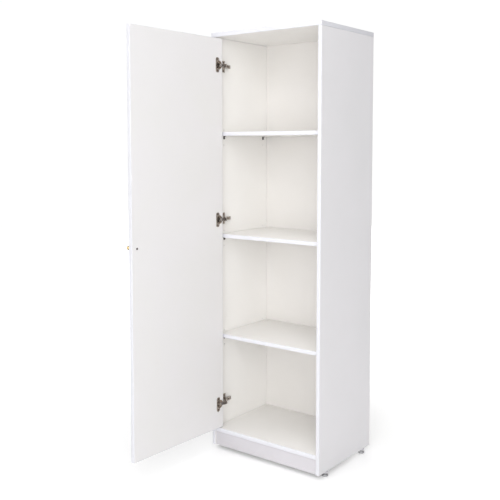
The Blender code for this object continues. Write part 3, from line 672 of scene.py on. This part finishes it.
@dataclass(frozen=True)
class Swing:
    """The door's axis and the angle at which it rests open."""

    axis: Vector
    opening: float

    @property
    def opened(self) -> Matrix:
        """The movement from the shut door to the resting one."""
        there = Matrix.Translation(self.axis)
        return there @ Matrix.Rotation(-self.opening, 4, "Z") @ there.inverted()


def read_swing() -> Swing:
    """Read the door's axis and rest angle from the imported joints."""
    joint = next(joint for joint in frame["joints"] if joint["name"] == "door_hinge")
    return Swing(Vector(joint["pos_m"]), math.radians(joint["range_deg"][1]))


# ---- carcass
@dataclass
class Board:
    """A coated board with rounded edges and a band on some of them."""

    name: str
    low: Vector
    high: Vector
    bands: tuple[Facing, ...] = ()
    painted_light_face: Facing | None = None
    edge_radius: float = 0.0013
    edge_segments: int = 3
    band_thickness: float = 0.0015

    @classmethod
    def of_node(cls, node: str, name: str, *bands: Facing) -> "Board":
        """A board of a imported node's size."""
        low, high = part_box(node)
        return cls(name, low, high, bands)

    def build(self) -> Piece:
        """Model the board.

        Returns:
            The board, whose bands have the material number 1 and whose inside face has 2, the
            lighter white that is painted light.
        """
        board = add_block(self.name, self.low, self.high)
        ease_edges(board, self.edge_radius, self.edge_segments)
        planes = [self._band_plane(band) for band in self.bands]
        for place, normal in planes:
            open_up(board, Pick.FACE, every)
            bpy.ops.mesh.bisect(plane_co=place, plane_no=normal)
            bpy.ops.object.mode_set(mode="OBJECT")
        for face in board.data.polygons:
            beyond = [(face.center - place).dot(normal) > 0.0 for place, normal in planes]
            face.material_index = int(any(beyond))
            if any(beyond) or self.painted_light_face is None:
                continue
            # Material 2 is the lighter inside white: painted light on the face inside the cabinet.
            if face.normal.dot(self.painted_light_face.vector) > ALIGNED:
                face.material_index = 2
        return board

    def _band_plane(self, band: Facing) -> tuple[Vector, Vector]:
        """Find the plane between the board and one of its bands.

        Args:
            band: The direction that the band faces.

        Returns:
            A point of the plane and its normal, which points to the band.
        """
        normal = band.vector
        corner = self.high if max(band.value) > 0.0 else self.low
        return corner - normal * self.band_thickness, normal


@dataclass
class Carcass:
    """Sides, top, bottom, plinth, back and rear rail."""

    hole_radius: float = 0.0025
    hole_depth: float = 0.010
    hole_pitch: float = 0.032
    groove_depth: float = 0.008
    groove_slack: float = 0.0005
    groove_overrun: float = 0.04
    pin_drop: float = 0.007
    socket_radius: float = 0.0052
    socket_slack: float = 0.0006
    back_edge: float = 0.0003
    body: str = "carcass"

    def build(self) -> None:
        """Build every fixed board."""
        for column in COLUMNS:
            self._side(column)
        self._plain("top_panel", "top_board", CARCASS_WHITE, "carcass_board", Facing.FRONT,
                    Facing.LEFT, Facing.RIGHT)
        # The bottom board takes the lighter inside white, which is painted light.
        self._plain("bottom_panel", "bottom_board", INSIDE_WHITE_PAINTED_LIGHT, "carcass_board", Facing.FRONT)
        # The plinth takes its darker white, which is painted shade.
        self._plain("plinth_front", "plinth_board", PLINTH_WHITE_PAINTED_SHADE, "plinth_board", Facing.DOWN)
        self._plain("rear_rail", "rear_rail_board", CARCASS_WHITE, "carcass_board", Facing.DOWN)
        back = Board.of_node("back_panel", "back_board")
        back.edge_radius = self.back_edge
        deliver(back.build(), (BACK_WHITE,), self.body, "back_board", "back_panel")

    def _plain(self, node: str, name: str, finish: Finish, slot: str, *bands: Facing) -> None:
        """Build a board other than a side.

        Args:
            node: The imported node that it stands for.
            name: The board's name.
            finish: Its finish.
            slot: Its material slot.
            bands: The directions that its bands face.
        """
        plan = Board.of_node(node, name, *bands)
        # The top's underside takes the lighter inside white, which is painted light.
        if node == "top_panel":
            plan.painted_light_face = Facing.DOWN
        board = plan.build()
        if node == "top_panel":
            self._cut_groove(board, box_middle("side_left").x, box_middle("side_right").x)
        deliver(board, (finish, BAND_WHITE, INSIDE_WHITE_PAINTED_LIGHT), self.body, slot, node)

    def _side(self, column: str) -> None:
        """Build one side with its shelf holes, back groove and foot bores.

        Args:
            column: Which side, left or right.
        """
        node = "side_" + column
        inward = Facing.RIGHT if column == "left" else Facing.LEFT
        low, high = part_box(node)
        face = high.x if inward is Facing.RIGHT else low.x
        plan = Board.of_node(node, "side_board_" + column, Facing.FRONT, Facing.REAR)
        # The inner face takes the lighter, warmer inside white, which is painted light.
        plan.painted_light_face = inward
        side = plan.build()
        drill(side, self._holes(column, face), self.hole_radius, self.hole_depth, inward, 16)
        groove_floor = face - inward.vector.x * self.groove_depth
        self._cut_groove(side, groove_floor, groove_floor + inward.vector.x * self.groove_overrun)
        bores = []
        for row in ROWS:
            middle = box_middle("foot_socket_" + row + "_" + column)
            bores.append(Vector((middle.x, middle.y, low.z)))
        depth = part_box("foot_socket_front_left")[1].z - low.z + self.socket_slack
        drill(side, bores, self.socket_radius + self.socket_slack, depth, Facing.DOWN)
        deliver(side, (CARCASS_WHITE, BAND_WHITE, INSIDE_WHITE_PAINTED_LIGHT), self.body, "carcass_board", node)

    def _holes(self, column: str, face: float) -> list[Vector]:
        """Find a side's shelf holes: one at each pin, and one above and below it.

        Args:
            column: Which side, left or right.
            face: The X of its inner face.

        Returns:
            The middle of each hole's mouth.
        """
        places = []
        for level in ("upper", "middle", "lower"):
            for row in ROWS:
                node = "support_" + level + "_" + row + "_" + column
                pin_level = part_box(node)[1].z - self.pin_drop
                for step in (-1, 0, 1):
                    height = pin_level + step * self.hole_pitch
                    places.append(Vector((face, box_middle(node).y, height)))
        return places

    def _cut_groove(self, board: Piece, one_x: float, other_x: float) -> None:
        """Cut the groove that the back panel stands in.

        Args:
            board: The board to cut.
            one_x: The X of one end of the groove.
            other_x: The X of its other end.
        """
        low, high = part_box("back_panel")
        reach = self.groove_slack
        tool = add_block("groove", (min(one_x, other_x), low.y - reach, 0.0),
                         (max(one_x, other_x), high.y + reach, high.z + reach))
        combine(board, tool, "DIFFERENCE")


# ---- shelves
@dataclass
class Shelves:
    """Three shelves, each on four pressed supports with a pin in the side."""

    plate: float = 0.0020
    width: float = 0.010
    height: float = 0.014
    reach: float = 0.010
    pin_radius: float = 0.0022
    pin_length: float = 0.008
    pin_drop: float = 0.007
    corner: float = 0.0028
    body: str = "carcass"

    def build(self) -> None:
        """Build the shelves, and one support that is copied to all its places."""
        master = self._support()
        for level in ("upper", "middle", "lower"):
            node = "shelf_" + level
            shelf = Board.of_node(node, "shelf_board_" + level, Facing.FRONT).build()
            # Shelves take the lighter inside white, which is painted light.
            deliver(shelf, (INSIDE_WHITE_PAINTED_LIGHT, BAND_WHITE), self.body, "shelf_board", node)
            for row in ROWS:
                for column in COLUMNS:
                    self._set_support(master, level + "_" + row + "_" + column)
        bpy.data.objects.remove(master, do_unlink=True)

    def _support(self) -> Piece:
        """Model a support for the left side.

        Returns:
            The support, whose top is at the origin's level.
        """
        half = self.width / 2
        support = add_block("support", (0.0, -half, -self.height), (self.plate, half, 0.0))
        ease_edges(support, self.corner, 4, self._is_lower_corner)
        ledge = add_block("ledge", (0.0, -half, -self.plate), (self.reach, half, 0.0))
        ease_edges(ledge, self.corner, 4, self._is_ledge_corner)
        combine(support, ledge, "UNION")
        tip = self.pin_radius * 0.75
        profile = ((tip, -self.pin_length), (self.pin_radius, -self.pin_length + 0.0006),
                   (self.pin_radius, self.plate / 2))
        pin = add_turning("pin", profile, 20)
        move_by(pin, Matrix.Translation((0.0, 0.0, -self.pin_drop)) @ Facing.RIGHT.turn)
        combine(support, pin, "UNION")
        ease_sharp_edges(support, 0.0003)
        return support

    def _is_lower_corner(self, edge: bmesh.types.BMEdge) -> bool:
        """Say whether an edge crosses the upright's thickness at its lower end."""
        low = max(vert.co.z for vert in edge.verts) < -self.height / 2
        return low and runs_along(Facing.RIGHT)(edge)

    def _is_ledge_corner(self, edge: bmesh.types.BMEdge) -> bool:
        """Say whether an edge stands at the ledge's free end."""
        outer = min(vert.co.x for vert in edge.verts) > self.reach / 2
        return outer and runs_along(Facing.UP)(edge)

    def _set_support(self, master: Piece, place: str) -> None:
        """Copy the support to one place; on the right side it is turned half round.

        Args:
            master: The support to copy.
            place: Level, row and column, joined by underscores.
        """
        node = "support_" + place
        low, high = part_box(node)
        if place.endswith("left"):
            origin = Vector((high.x - self.reach, (low.y + high.y) / 2, high.z))
            matrix = Matrix.Translation(origin)
        else:
            origin = Vector((low.x + self.reach, (low.y + high.y) / 2, high.z))
            matrix = Matrix.Translation(origin) @ Matrix.Rotation(math.pi, 4, "Z")
        piece = copy_by(master, "shelf_support_" + place, matrix)
        deliver(piece, (DARK_NICKEL,), self.body, "dark_nickel", node)


# ---- screws
@dataclass(frozen=True)
class CrossScrew:
    """A screw head with a cross recess and a shank."""

    head_radius: float
    head_height: float
    shank_radius: float
    shank_length: float
    recess_width: float = 0.28
    crown: float = 0.55
    recess_reach: float = 0.62
    recess_floor: float = 0.35

    def build(self, name: str, matrix: Matrix) -> Piece:
        """Model the screw about Z, its head standing on the origin's level, and set it.

        Args:
            name: The screw's name.
            matrix: How the screw is moved to its place.

        Returns:
            The screw, settled in its place.
        """
        radius, height = self.head_radius, self.head_height
        profile = [(self.shank_radius * 0.55, -self.shank_length),
                   (self.shank_radius, -self.shank_length * 0.85),
                   (self.shank_radius, 0.0), (radius * 0.97, 0.0)]
        steps = 5
        for step in range(steps + 1):
            angle = math.pi / 2 * step / (steps + 1)
            ring = radius * math.cos(angle)
            profile.append((ring, height * (1.0 - self.crown * (1.0 - math.sin(angle)))))
        screw = add_turning(name, profile, 32)
        arm, half = radius * self.recess_reach, radius * self.recess_width / 2
        floor = height * self.recess_floor
        for long_x, long_y in ((arm, half), (half, arm)):
            slot = add_block("slot", (-long_x, -long_y, floor), (long_x, long_y, height * 2))
            combine(screw, slot, "DIFFERENCE")
        move_by(screw, matrix)
        return screw


KNOB_SCREW = CrossScrew(0.0040, 0.0022, 0.0019, 0.026)
CUP_SCREW = CrossScrew(0.0040, 0.0014, 0.0018, 0.0012)
PLATE_SCREW = CrossScrew(0.0039, 0.0016, 0.0018, 0.0004)
ARM_SCREW = CrossScrew(0.0034, 0.0018, 0.0017, 0.0065)
ADJUSTER = CrossScrew(0.0024, 0.0009, 0.0012, 0.0004, 0.34)


# ---- door
@dataclass
class Door:
    """Door panel, knob and the knob's screw, modelled shut and swung open."""

    swing: Swing
    side_gap: float = 0.002
    thickness: float = 0.018
    cup_setback: float = 0.0225
    pocket_radius: float = 0.0175
    pocket_depth: float = 0.0123
    hole_radius: float = 0.0024
    knob_setback: float = 0.025
    knob_length: float = 0.034
    knob_radius: float = 0.009
    neck_radius: float = 0.0042
    base_radius: float = 0.0062
    body: str = "door"

    def __post_init__(self) -> None:
        """Work out the shut door's corners from the carcass."""
        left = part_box("side_left")[1].x + self.side_gap
        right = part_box("side_right")[0].x - self.side_gap
        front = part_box("side_left")[0].y
        low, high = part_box("door_panel")
        self.low = Vector((left, front, low.z))
        self.high = Vector((right, front + self.thickness, high.z))
        self.knob_level = box_middle("door_knob").z

    def build(self) -> None:
        """Build the panel, the knob and its screw."""
        bands = (Facing.LEFT, Facing.RIGHT, Facing.DOWN, Facing.UP)
        panel = Board("door_board", self.low, self.high, bands).build()
        cup_x = self.low.x + self.cup_setback
        cups = [Vector((cup_x, self.high.y, box_middle("hinge_" + level + "_arm").z))
                for level in LEVELS]
        drill(panel, cups, self.pocket_radius, self.pocket_depth, Facing.REAR, 48)
        knob_x = self.high.x - self.knob_setback
        mouth = Vector((knob_x, self.high.y, self.knob_level))
        drill(panel, (mouth,), self.hole_radius, self.thickness * 1.2, Facing.REAR)
        self._hang(panel, (DOOR_WHITE, BAND_WHITE), "door_board", "door_panel")
        self._knob(Vector((knob_x, self.low.y - FIT, self.knob_level)))
        place = Matrix.Translation(mouth + Vector((0.0, FIT, 0.0))) @ Facing.REAR.turn
        screw = KNOB_SCREW.build("knob_fixing_screw", place)
        self._hang(screw, (BRONZE,), "dark_bronze", "knob_screw")

    def _knob(self, place: Vector) -> None:
        """Turn the knob: base ring, waisted neck, flare and domed head with a fine bead.

        Args:
            place: The middle of its foot on the shut door.
        """
        head, length, neck = self.knob_radius, self.knob_length, self.neck_radius
        shoulder = length - 0.0075
        profile = [(0.0024, 0.009), (0.0024, 0.0), (self.base_radius - 0.0004, 0.0),
                   (self.base_radius, 0.0004), (self.base_radius, 0.0016),
                   (self.base_radius - 0.0005, 0.0021), (neck + 0.0009, 0.0026)]
        waist = 8
        for step in range(waist + 1):
            rise = step / waist
            bulge = 0.0007 * math.cos(2.0 * math.pi * rise)
            profile.append((neck + bulge - 0.0004, 0.0032 + rise * (shoulder - 0.0105)))
        flare = 6
        for step in range(1, flare + 1):
            part = step / flare
            ring = neck + (head - 0.0008 - neck) * (1.0 - math.cos(part * math.pi / 2))
            profile.append((ring, shoulder - 0.0068 + part * 0.0052))
        profile += [(head - 0.0004, shoulder - 0.0011), (head, shoulder - 0.0005),
                    (head, shoulder + 0.0005)]
        dome = 9
        for step in range(1, dome + 1):
            angle = math.pi / 2 * step / (dome + 0.4)
            profile.append((head * math.cos(angle), shoulder + 0.0005 + 0.007 * math.sin(angle)))
        knob = add_turning("turned_knob", profile, 56)
        move_by(knob, Matrix.Translation(place) @ Facing.FRONT.turn)
        self._hang(knob, (BRASS,), "knob_brass", "door_knob")

    def _hang(self, piece: Piece, finishes: Sequence[Finish], slot: str, *nodes: str) -> None:
        """Swing a piece open with the door and deliver it."""
        move_by(piece, self.swing.opened)
        deliver(piece, finishes, self.body, slot, *nodes)


# ---- hinges
@dataclass
class Hinges:
    """Three concealed hinges: cup, links, pins, arm, plate and screws."""

    door: Door
    cup_radius: float = 0.0172
    cup_wall: float = 0.0006
    cup_depth: float = 0.012
    rim_radius: float = 0.0190
    rim_thickness: float = 0.0012
    wing_offset: float = 0.0095
    wing_width: float = 0.020
    wing_height: float = 0.0625
    wing_thickness: float = 0.0010
    wing_hole_radius: float = 0.0026
    wing_hole_depth: float = 0.003
    wing_screw_pitch: float = 0.024
    plate_thickness: float = 0.0022
    plate_screw_inset: float = 0.0075
    plate_screw_pitch: float = 0.018
    adjuster_setback: float = 0.064
    adjuster_depth: float = 0.0020
    edge_width: float = 0.00035

    def build(self) -> None:
        """Model the top hinge's pieces and copy them to the other two levels."""
        base = box_middle("hinge_top_arm").z
        # The nickel finish's bright patches are painted reflection.
        carcass, nickel, bright = "carcass", (NICKEL_PAINTED_REFLECTION, "nickel"), (LINK_STEEL, "bright_steel")
        for part, look, body in (("arm", nickel, carcass), ("plate", nickel, carcass),
                                 ("outer_link", bright, "outer_links"),
                                 ("inner_link", bright, "inner_links")):
            piece = refined_copy("hinge_top_" + part, "hinge_" + part, self.edge_width)
            self._spread(piece, part, *look, body, base, True)
        screw = (SCREW_STEEL, "bright_steel")
        for part in ("outer_pin", "inner_pin"):
            self._spread(self._pin(part), part, *screw, carcass, base, True)
        self._spread(self._arm_screw(), "arm_screw", *screw, carcass, base, True)
        self._spread(self._adjuster(), "adjuster", *screw, carcass, base)
        self._spread(self._cup(base), "cup", *nickel, "door", base, True)
        for side, label in ((1, "_upper"), (-1, "_lower")):
            cup_screw = self._cup_screw(base + side * self.wing_screw_pitch)
            self._spread(cup_screw, "cup_screw" + label, *screw, "door", base)
            plate_screw = self._plate_screw(base + side * self.plate_screw_pitch)
            self._spread(plate_screw, "plate_screw" + label, *screw, carcass, base)

    def _spread(self, master: Piece, part: str, finish: Finish, slot: str, body: str,
                base: float, stands_for_node: bool = False) -> None:
        """Copy a piece of the top hinge to each level and deliver the copies.

        Args:
            master: The top hinge's piece, which is used up.
            part: The part's name.
            finish: Its finish.
            slot: Its material slot.
            body: The body that it moves with.
            base: The top hinge's level.
            stands_for_node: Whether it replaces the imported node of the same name.
        """
        for level in LEVELS:
            rise = box_middle("hinge_" + level + "_arm").z - base
            name = level + "_hinge_" + part
            piece = copy_by(master, name, Matrix.Translation((0.0, 0.0, rise)))
            nodes = ("hinge_" + level + "_" + part,) if stands_for_node else ()
            deliver(piece, (finish,), body, slot, *nodes)
        bpy.data.objects.remove(master, do_unlink=True)

    def _cup(self, base: float) -> Piece:
        """Model the cup: a rounded bowl with a rim, and a wing plate with round ends.

        Args:
            base: The hinge's level.

        Returns:
            The cup, in its place on the resting door.
        """
        outer, wall, depth = self.cup_radius, self.cup_wall, self.cup_depth
        inner = outer - wall
        top = FIT + self.rim_thickness
        profile = ((outer - 0.0020, -depth), (outer - 0.0008, -depth + 0.0003),
                   (outer - 0.0002, -depth + 0.0011), (outer, -depth + 0.0022), (outer, FIT),
                   (self.rim_radius - 0.0002, FIT), (self.rim_radius, FIT + 0.0003),
                   (self.rim_radius - 0.0001, top - 0.0003), (self.rim_radius - 0.0005, top),
                   (inner + 0.0003, top), (inner, top - 0.0003), (inner, wall - depth + 0.0022),
                   (inner - 0.0008, wall - depth + 0.0008), (inner - 0.0022, wall - depth + 0.0002),
                   (inner * 0.45, wall - depth + 0.0002), (inner * 0.40, wall - depth + 0.0008),
                   (inner * 0.20, wall - depth + 0.0009))
        cup = add_turning("cup", profile, 64)
        half = self.wing_height / 2
        low = (-self.wing_width / 2, -half, FIT)
        high = (self.wing_width / 2, half, FIT + self.wing_thickness)
        wing = add_block("wing", low, high)
        ease_edges(wing, self.wing_width * 0.42, 7, runs_along(Facing.UP))
        move_by(wing, Matrix.Translation((self.wing_offset, 0.0, 0.0)))
        middle = (inner + outer) / 2
        mouth = add_turning("mouth", ((middle, -0.004), (middle, 0.004)), 64)
        combine(wing, mouth, "DIFFERENCE")
        combine(cup, wing, "UNION")
        for side in (1, -1):
            place = Vector((self.wing_offset, side * self.wing_screw_pitch,
                            FIT + self.wing_thickness))
            drill(cup, (place,), self.wing_hole_radius, self.wing_hole_depth, Facing.UP, 20)
        ease_sharp_edges(cup, 0.00015, 1)
        stand = Matrix.Rotation(-math.pi / 2, 4, "X")
        place = Vector((self.door.low.x + self.door.cup_setback, self.door.high.y, base))
        move_by(cup, self.door.swing.opened @ Matrix.Translation(place) @ stand)
        return cup

    def _cup_screw(self, level: float) -> Piece:
        """Model a screw that holds the cup's wing to the door.

        Args:
            level: The screw's level.

        Returns:
            The screw, in its place on the resting door.
        """
        x = self.door.low.x + self.door.cup_setback + self.wing_offset
        y = self.door.high.y + FIT + self.wing_thickness + 0.0001
        place = Matrix.Translation((x, y, level)) @ Facing.REAR.turn
        return CUP_SCREW.build("cup_screw", self.door.swing.opened @ place)

    def _plate_screw(self, level: float) -> Piece:
        """Model a screw that holds the mounting plate's wing to the side.

        Args:
            level: The screw's level.

        Returns:
            The screw, in its place.
        """
        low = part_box("hinge_top_plate")[0]
        place = Vector((low.x + self.plate_thickness, low.y + self.plate_screw_inset, level))
        return PLATE_SCREW.build("plate_screw", Matrix.Translation(place) @ Facing.RIGHT.turn)

    def _arm_screw(self) -> Piece:
        """Model the screw that clamps the arm to its plate.

        Returns:
            The screw, in its place.
        """
        low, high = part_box("hinge_top_arm_screw")
        middle = (low + high) / 2
        place = Vector((high.x - ARM_SCREW.head_height, middle.y, middle.z))
        return ARM_SCREW.build("arm_screw", Matrix.Translation(place) @ Facing.RIGHT.turn)

    def _adjuster(self) -> Piece:
        """Model the small adjusting screw in the arm's web.

        Returns:
            The screw, in its place.
        """
        low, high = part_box("hinge_top_arm_screw")
        place = Vector((high.x - self.adjuster_depth, self.door.low.y + self.adjuster_setback,
                        (low.z + high.z) / 2))
        return ADJUSTER.build("adjuster", Matrix.Translation(place) @ Facing.RIGHT.turn)

    def _pin(self, part: str) -> Piece:
        """Turn a riveted pin with a domed end at each cheek that it passes.

        Args:
            part: Which pin, outer_pin or inner_pin.

        Returns:
            The top hinge's pin, in its place.
        """
        low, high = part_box("hinge_top_" + part)
        radius = (high.x - low.x) / 2
        middle = (low + high) / 2
        dome = 0.0004
        lower_dome = dome if part == "inner_pin" else 0.0
        profile = [(radius * 0.35, low.z - lower_dome), (radius * 0.80, low.z - lower_dome * 0.6),
                   (radius, low.z + 0.0001), (radius, high.z - 0.0001),
                   (radius * 0.80, high.z + dome * 0.6), (radius * 0.35, high.z + dome)]
        pin = add_turning(part, profile, 24)
        move_by(pin, Matrix.Translation((middle.x, middle.y, 0.0)))
        return pin


# ---- feet
@dataclass
class Feet:
    """Four levelling feet, each a steel disc on a threaded stem in a plastic socket."""

    disc_radius: float = 0.013
    disc_top: float = 0.0085
    glide_radius: float = 0.0115
    glide_height: float = 0.0017
    stem_radius: float = 0.0040
    stem_top: float = 0.044
    neck_top: float = 0.0154
    thread_pitch: float = 0.00125
    thread_depth: float = 0.0005
    grips: int = 12
    grip_radius: float = 0.0011
    collar_radius: float = 0.0140
    socket_radius: float = 0.0052
    socket_wall: float = 0.0008

    def build(self) -> None:
        """Model one foot, one glide and one socket, and copy them to the four corners."""
        masters = (("foot", self._foot(), FOOT_STEEL, "foot_steel"),
                   ("foot_glide", self._glide(), GLIDE_WHITE, "foot_steel"),
                   ("foot_collar", self._socket(), COLLAR_GREY, "collar_plastic"))
        for row in ROWS:
            for column in COLUMNS:
                corner = row + "_" + column
                middle = box_middle("levelling_foot_" + corner)
                place = Matrix.Translation((middle.x, middle.y, 0.0))
                for label, master, finish, slot in masters:
                    piece = copy_by(master, label + "_" + corner, place)
                    body = "carcass" if label == "foot_collar" else "foot_" + corner
                    nodes = {"foot": ("levelling_foot_" + corner,),
                             "foot_collar": ("foot_socket_" + corner,)}.get(label, ())
                    deliver(piece, (finish,), body, slot, *nodes)
        for _, master, _, _ in masters:
            bpy.data.objects.remove(master, do_unlink=True)

    def _foot(self) -> Piece:
        """Turn the disc, its neck and the ringed stem, and cut grips round the disc.

        Returns:
            The foot, standing on the origin.
        """
        disc, top, low = self.disc_radius, self.disc_top, self.glide_height
        profile = [(disc - 0.0008, low), (disc, low + 0.0006), (disc, top - 0.0010),
                   (disc - 0.0003, top - 0.0004), (disc - 0.0009, top), (0.0078, top),
                   (0.0062, top + 0.0007), (0.0060, top + 0.0012), (0.0060, self.neck_top - 0.0003),
                   (0.0057, self.neck_top), (self.stem_radius - self.thread_depth, self.neck_top)]
        level = self.neck_top
        while level < self.stem_top - 1.2 * self.thread_pitch:
            profile.append((self.stem_radius, level + self.thread_pitch * 0.5))
            profile.append((self.stem_radius - self.thread_depth, level + self.thread_pitch))
            level += self.thread_pitch
        profile.append((self.stem_radius - 0.0012, self.stem_top))
        foot = add_turning("foot", profile, 48)
        grip = self.grip_radius
        for step in range(self.grips):
            turn = Matrix.Rotation(2.0 * math.pi * step / self.grips, 4, "Z")
            groove = add_turning("groove", ((grip, low - 0.001), (grip, top + 0.001)), 12)
            move_by(groove, turn @ Matrix.Translation((disc + 0.0006, 0.0, 0.0)))
            combine(foot, groove, "DIFFERENCE")
        return foot

    def _glide(self) -> Piece:
        """Turn the nylon glide under the disc.

        Returns:
            The glide, standing on the origin.
        """
        radius, height = self.glide_radius, self.glide_height
        profile = ((radius * 0.55, 0.0003), (radius * 0.62, 0.0), (radius - 0.0006, 0.0),
                   (radius - 0.0001, 0.0004), (radius, height * 0.6), (radius, height - 0.00005))
        return add_turning("foot_glide", profile, 48)

    def _socket(self) -> Piece:
        """Turn the socket: a tapered collar under the side and a tube up into it.

        Returns:
            The socket, round the origin's axis at its own level.
        """
        low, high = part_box("foot_socket_front_left")
        side_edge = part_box("side_left")[0].z
        bore = self.socket_radius - self.socket_wall
        under = side_edge - FIT
        collar = self.collar_radius
        profile = ((bore, high.z - 0.002), (bore, low.z + 0.0004), (bore + 0.0004, low.z),
                   (collar - 0.0030, low.z), (collar - 0.0024, low.z + 0.0003),
                   (collar - 0.0006, under - 0.0012), (collar - 0.0001, under - 0.0006),
                   (collar, under - 0.0002), (collar - 0.0002, under), (self.socket_radius, under),
                   (self.socket_radius, high.z - 0.0005), (self.socket_radius - 0.0005, high.z))
        return add_turning("foot_collar", profile, 56)


@dataclass
class DoorStop:
    """The small rubber block that the shut door's free edge meets."""

    corner: float = 0.0016
    rib_half: float = 0.0005
    rib_depth: float = 0.0006
    overrun: float = 0.001
    body: str = "carcass"

    def build(self) -> None:
        """Model the block with round corners and a ribbed pad towards the door."""
        low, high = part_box("door_stop")
        stop = add_block("rubber_stop", low, high)
        ease_edges(stop, self.corner, 4, runs_along(Facing.FRONT))
        for step in (1, 2, 3):
            level = low.z + (high.z - low.z) * step / 4
            under = (low.x - self.overrun, low.y - self.overrun, level - self.rib_half)
            over = (high.x + self.overrun, low.y + self.rib_depth, level + self.rib_half)
            rib = add_block("rib", under, over)
            combine(stop, rib, "DIFFERENCE")
        ease_sharp_edges(stop, 0.0003, 2)
        deliver(stop, (STOP_GREY,), self.body, "stop_plastic", "door_stop")


# ---- studio
@dataclass
class SoftBox:
    """A square studio light."""

    name: str
    place: tuple[float, float, float]
    aim: tuple[float, float, float]
    side: float
    power: float

    def build(self) -> None:
        """Add the light and turn it to what it lights."""
        lamp = bpy.data.lights.new(self.name, "AREA")
        lamp.shape = "SQUARE"
        lamp.size = self.side
        lamp.energy = self.power
        light = bpy.data.objects.new(self.name, lamp)
        light.location = self.place
        sight = Vector(self.aim) - Vector(self.place)
        light.rotation_euler = sight.to_track_quat("-Z", "Y").to_euler()
        bpy.context.scene.collection.objects.link(light)


@dataclass
class Studio:
    """Pale floor, white surround, soft lights and the camera."""

    camera_place: tuple[float, float, float] = (1.8637, -2.4436, 1.3159)
    camera_turn: float = 37.71
    camera_tilt: float = -4.0
    lens: float = 54.98
    shift: float = -0.0976
    surround: float = 1.02
    fill: float = 0.45
    floor_reach: float = 9.0
    lights: tuple[SoftBox, ...] = (
        SoftBox("key_light", (2.85, -3.3, 2.3), (0.0, 0.1, 0.9), 3.0, 89.0),
        SoftBox("low_light", (1.7, -3.6, 0.8), (0.0, 0.1, 0.6), 2.0, 42.0),
        SoftBox("overhead_light", (0.4, -1.7, 4.0), (0.0, 0.0, 0.6), 3.0, 50.0),
        SoftBox("rear_light", (-2.6, 3.6, 2.2), (0.0, 0.2, 0.9), 3.0, 70.0),
    )

    def build(self) -> None:
        """Set up the whole studio."""
        bpy.context.scene.view_settings.view_transform = "Standard"
        self._floor()
        self._surround()
        for light in self.lights:
            light.build()
        data = bpy.data.cameras.new("camera")
        data.lens = self.lens
        data.shift_y = self.shift
        camera = bpy.data.objects.new("camera", data)
        camera.location = self.camera_place
        tilt = math.radians(90.0 + self.camera_tilt)
        camera.rotation_euler = (tilt, 0.0, math.radians(self.camera_turn))
        bpy.context.scene.collection.objects.link(camera)
        bpy.context.scene.camera = camera

    def _floor(self) -> None:
        """Lay a pale floor that fades into the white surround."""
        reach = self.floor_reach
        floor = add_block("studio_floor", (-reach, -reach, -0.03), (reach, reach, 0.0))
        ease_edges(floor, 0.01, 2)
        material = bpy.data.materials.new("studio_floor")
        material.use_nodes = True
        nodes, links = material.node_tree.nodes, material.node_tree.links
        shader = nodes["Principled BSDF"]
        shader.inputs["Base Color"].default_value = (0.90, 0.90, 0.90, 1.0)
        shader.inputs["Roughness"].default_value = 0.9
        shader.inputs["Specular IOR Level"].default_value = 0.1
        place = nodes.new("ShaderNodeTexCoord")
        distance = nodes.new("ShaderNodeVectorMath")
        distance.operation = "LENGTH"
        links.new(place.outputs["Object"], distance.inputs[0])
        fade = nodes.new("ShaderNodeMapRange")
        fade.interpolation_type = "SMOOTHSTEP"
        fade.inputs["From Min"].default_value = 0.5
        fade.inputs["From Max"].default_value = 2.6
        fade.inputs["To Min"].default_value = 0.20
        fade.inputs["To Max"].default_value = self.surround
        links.new(distance.outputs["Value"], fade.inputs["Value"])
        seen = nodes.new("ShaderNodeLightPath")
        glow = nodes.new("ShaderNodeMath")
        glow.operation = "MULTIPLY"
        links.new(fade.outputs["Result"], glow.inputs[0])
        links.new(seen.outputs["Is Camera Ray"], glow.inputs[1])
        shader.inputs["Emission Color"].default_value = (1.0, 1.0, 1.0, 1.0)
        links.new(glow.outputs["Value"], shader.inputs["Emission Strength"])
        floor.data.materials.append(material)

    def _surround(self) -> None:
        """Make the world white to look at, and a soft fill to light with."""
        world = bpy.data.worlds.new("studio")
        world.use_nodes = True
        bpy.context.scene.world = world
        nodes, links = world.node_tree.nodes, world.node_tree.links
        background = nodes["Background"]
        seen = nodes.new("ShaderNodeLightPath")
        strength = nodes.new("ShaderNodeMapRange")
        strength.inputs["To Min"].default_value = self.fill
        strength.inputs["To Max"].default_value = self.surround
        links.new(seen.outputs["Is Camera Ray"], strength.inputs["Value"])
        background.inputs["Color"].default_value = (1.0, 1.0, 1.0, 1.0)
        links.new(strength.outputs["Result"], background.inputs["Strength"])


def main() -> None:
    """Build the cabinet, sub-assembly by sub-assembly."""
    logging.basicConfig(level=logging.INFO, format="%(message)s")
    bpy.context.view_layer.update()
    mottle_group()
    handling_group()
    floor_darkening_group()
    for relief, stretch in RELIEF_STRETCH.items():
        texture_group(relief.value, stretch)
    Studio().build()
    Carcass().build()
    Shelves().build()
    Feet().build()
    DoorStop().build()
    door = Door(read_swing())
    door.build()
    Hinges(door).build()
    lay_down()


if __name__ == "__main__":
    main()
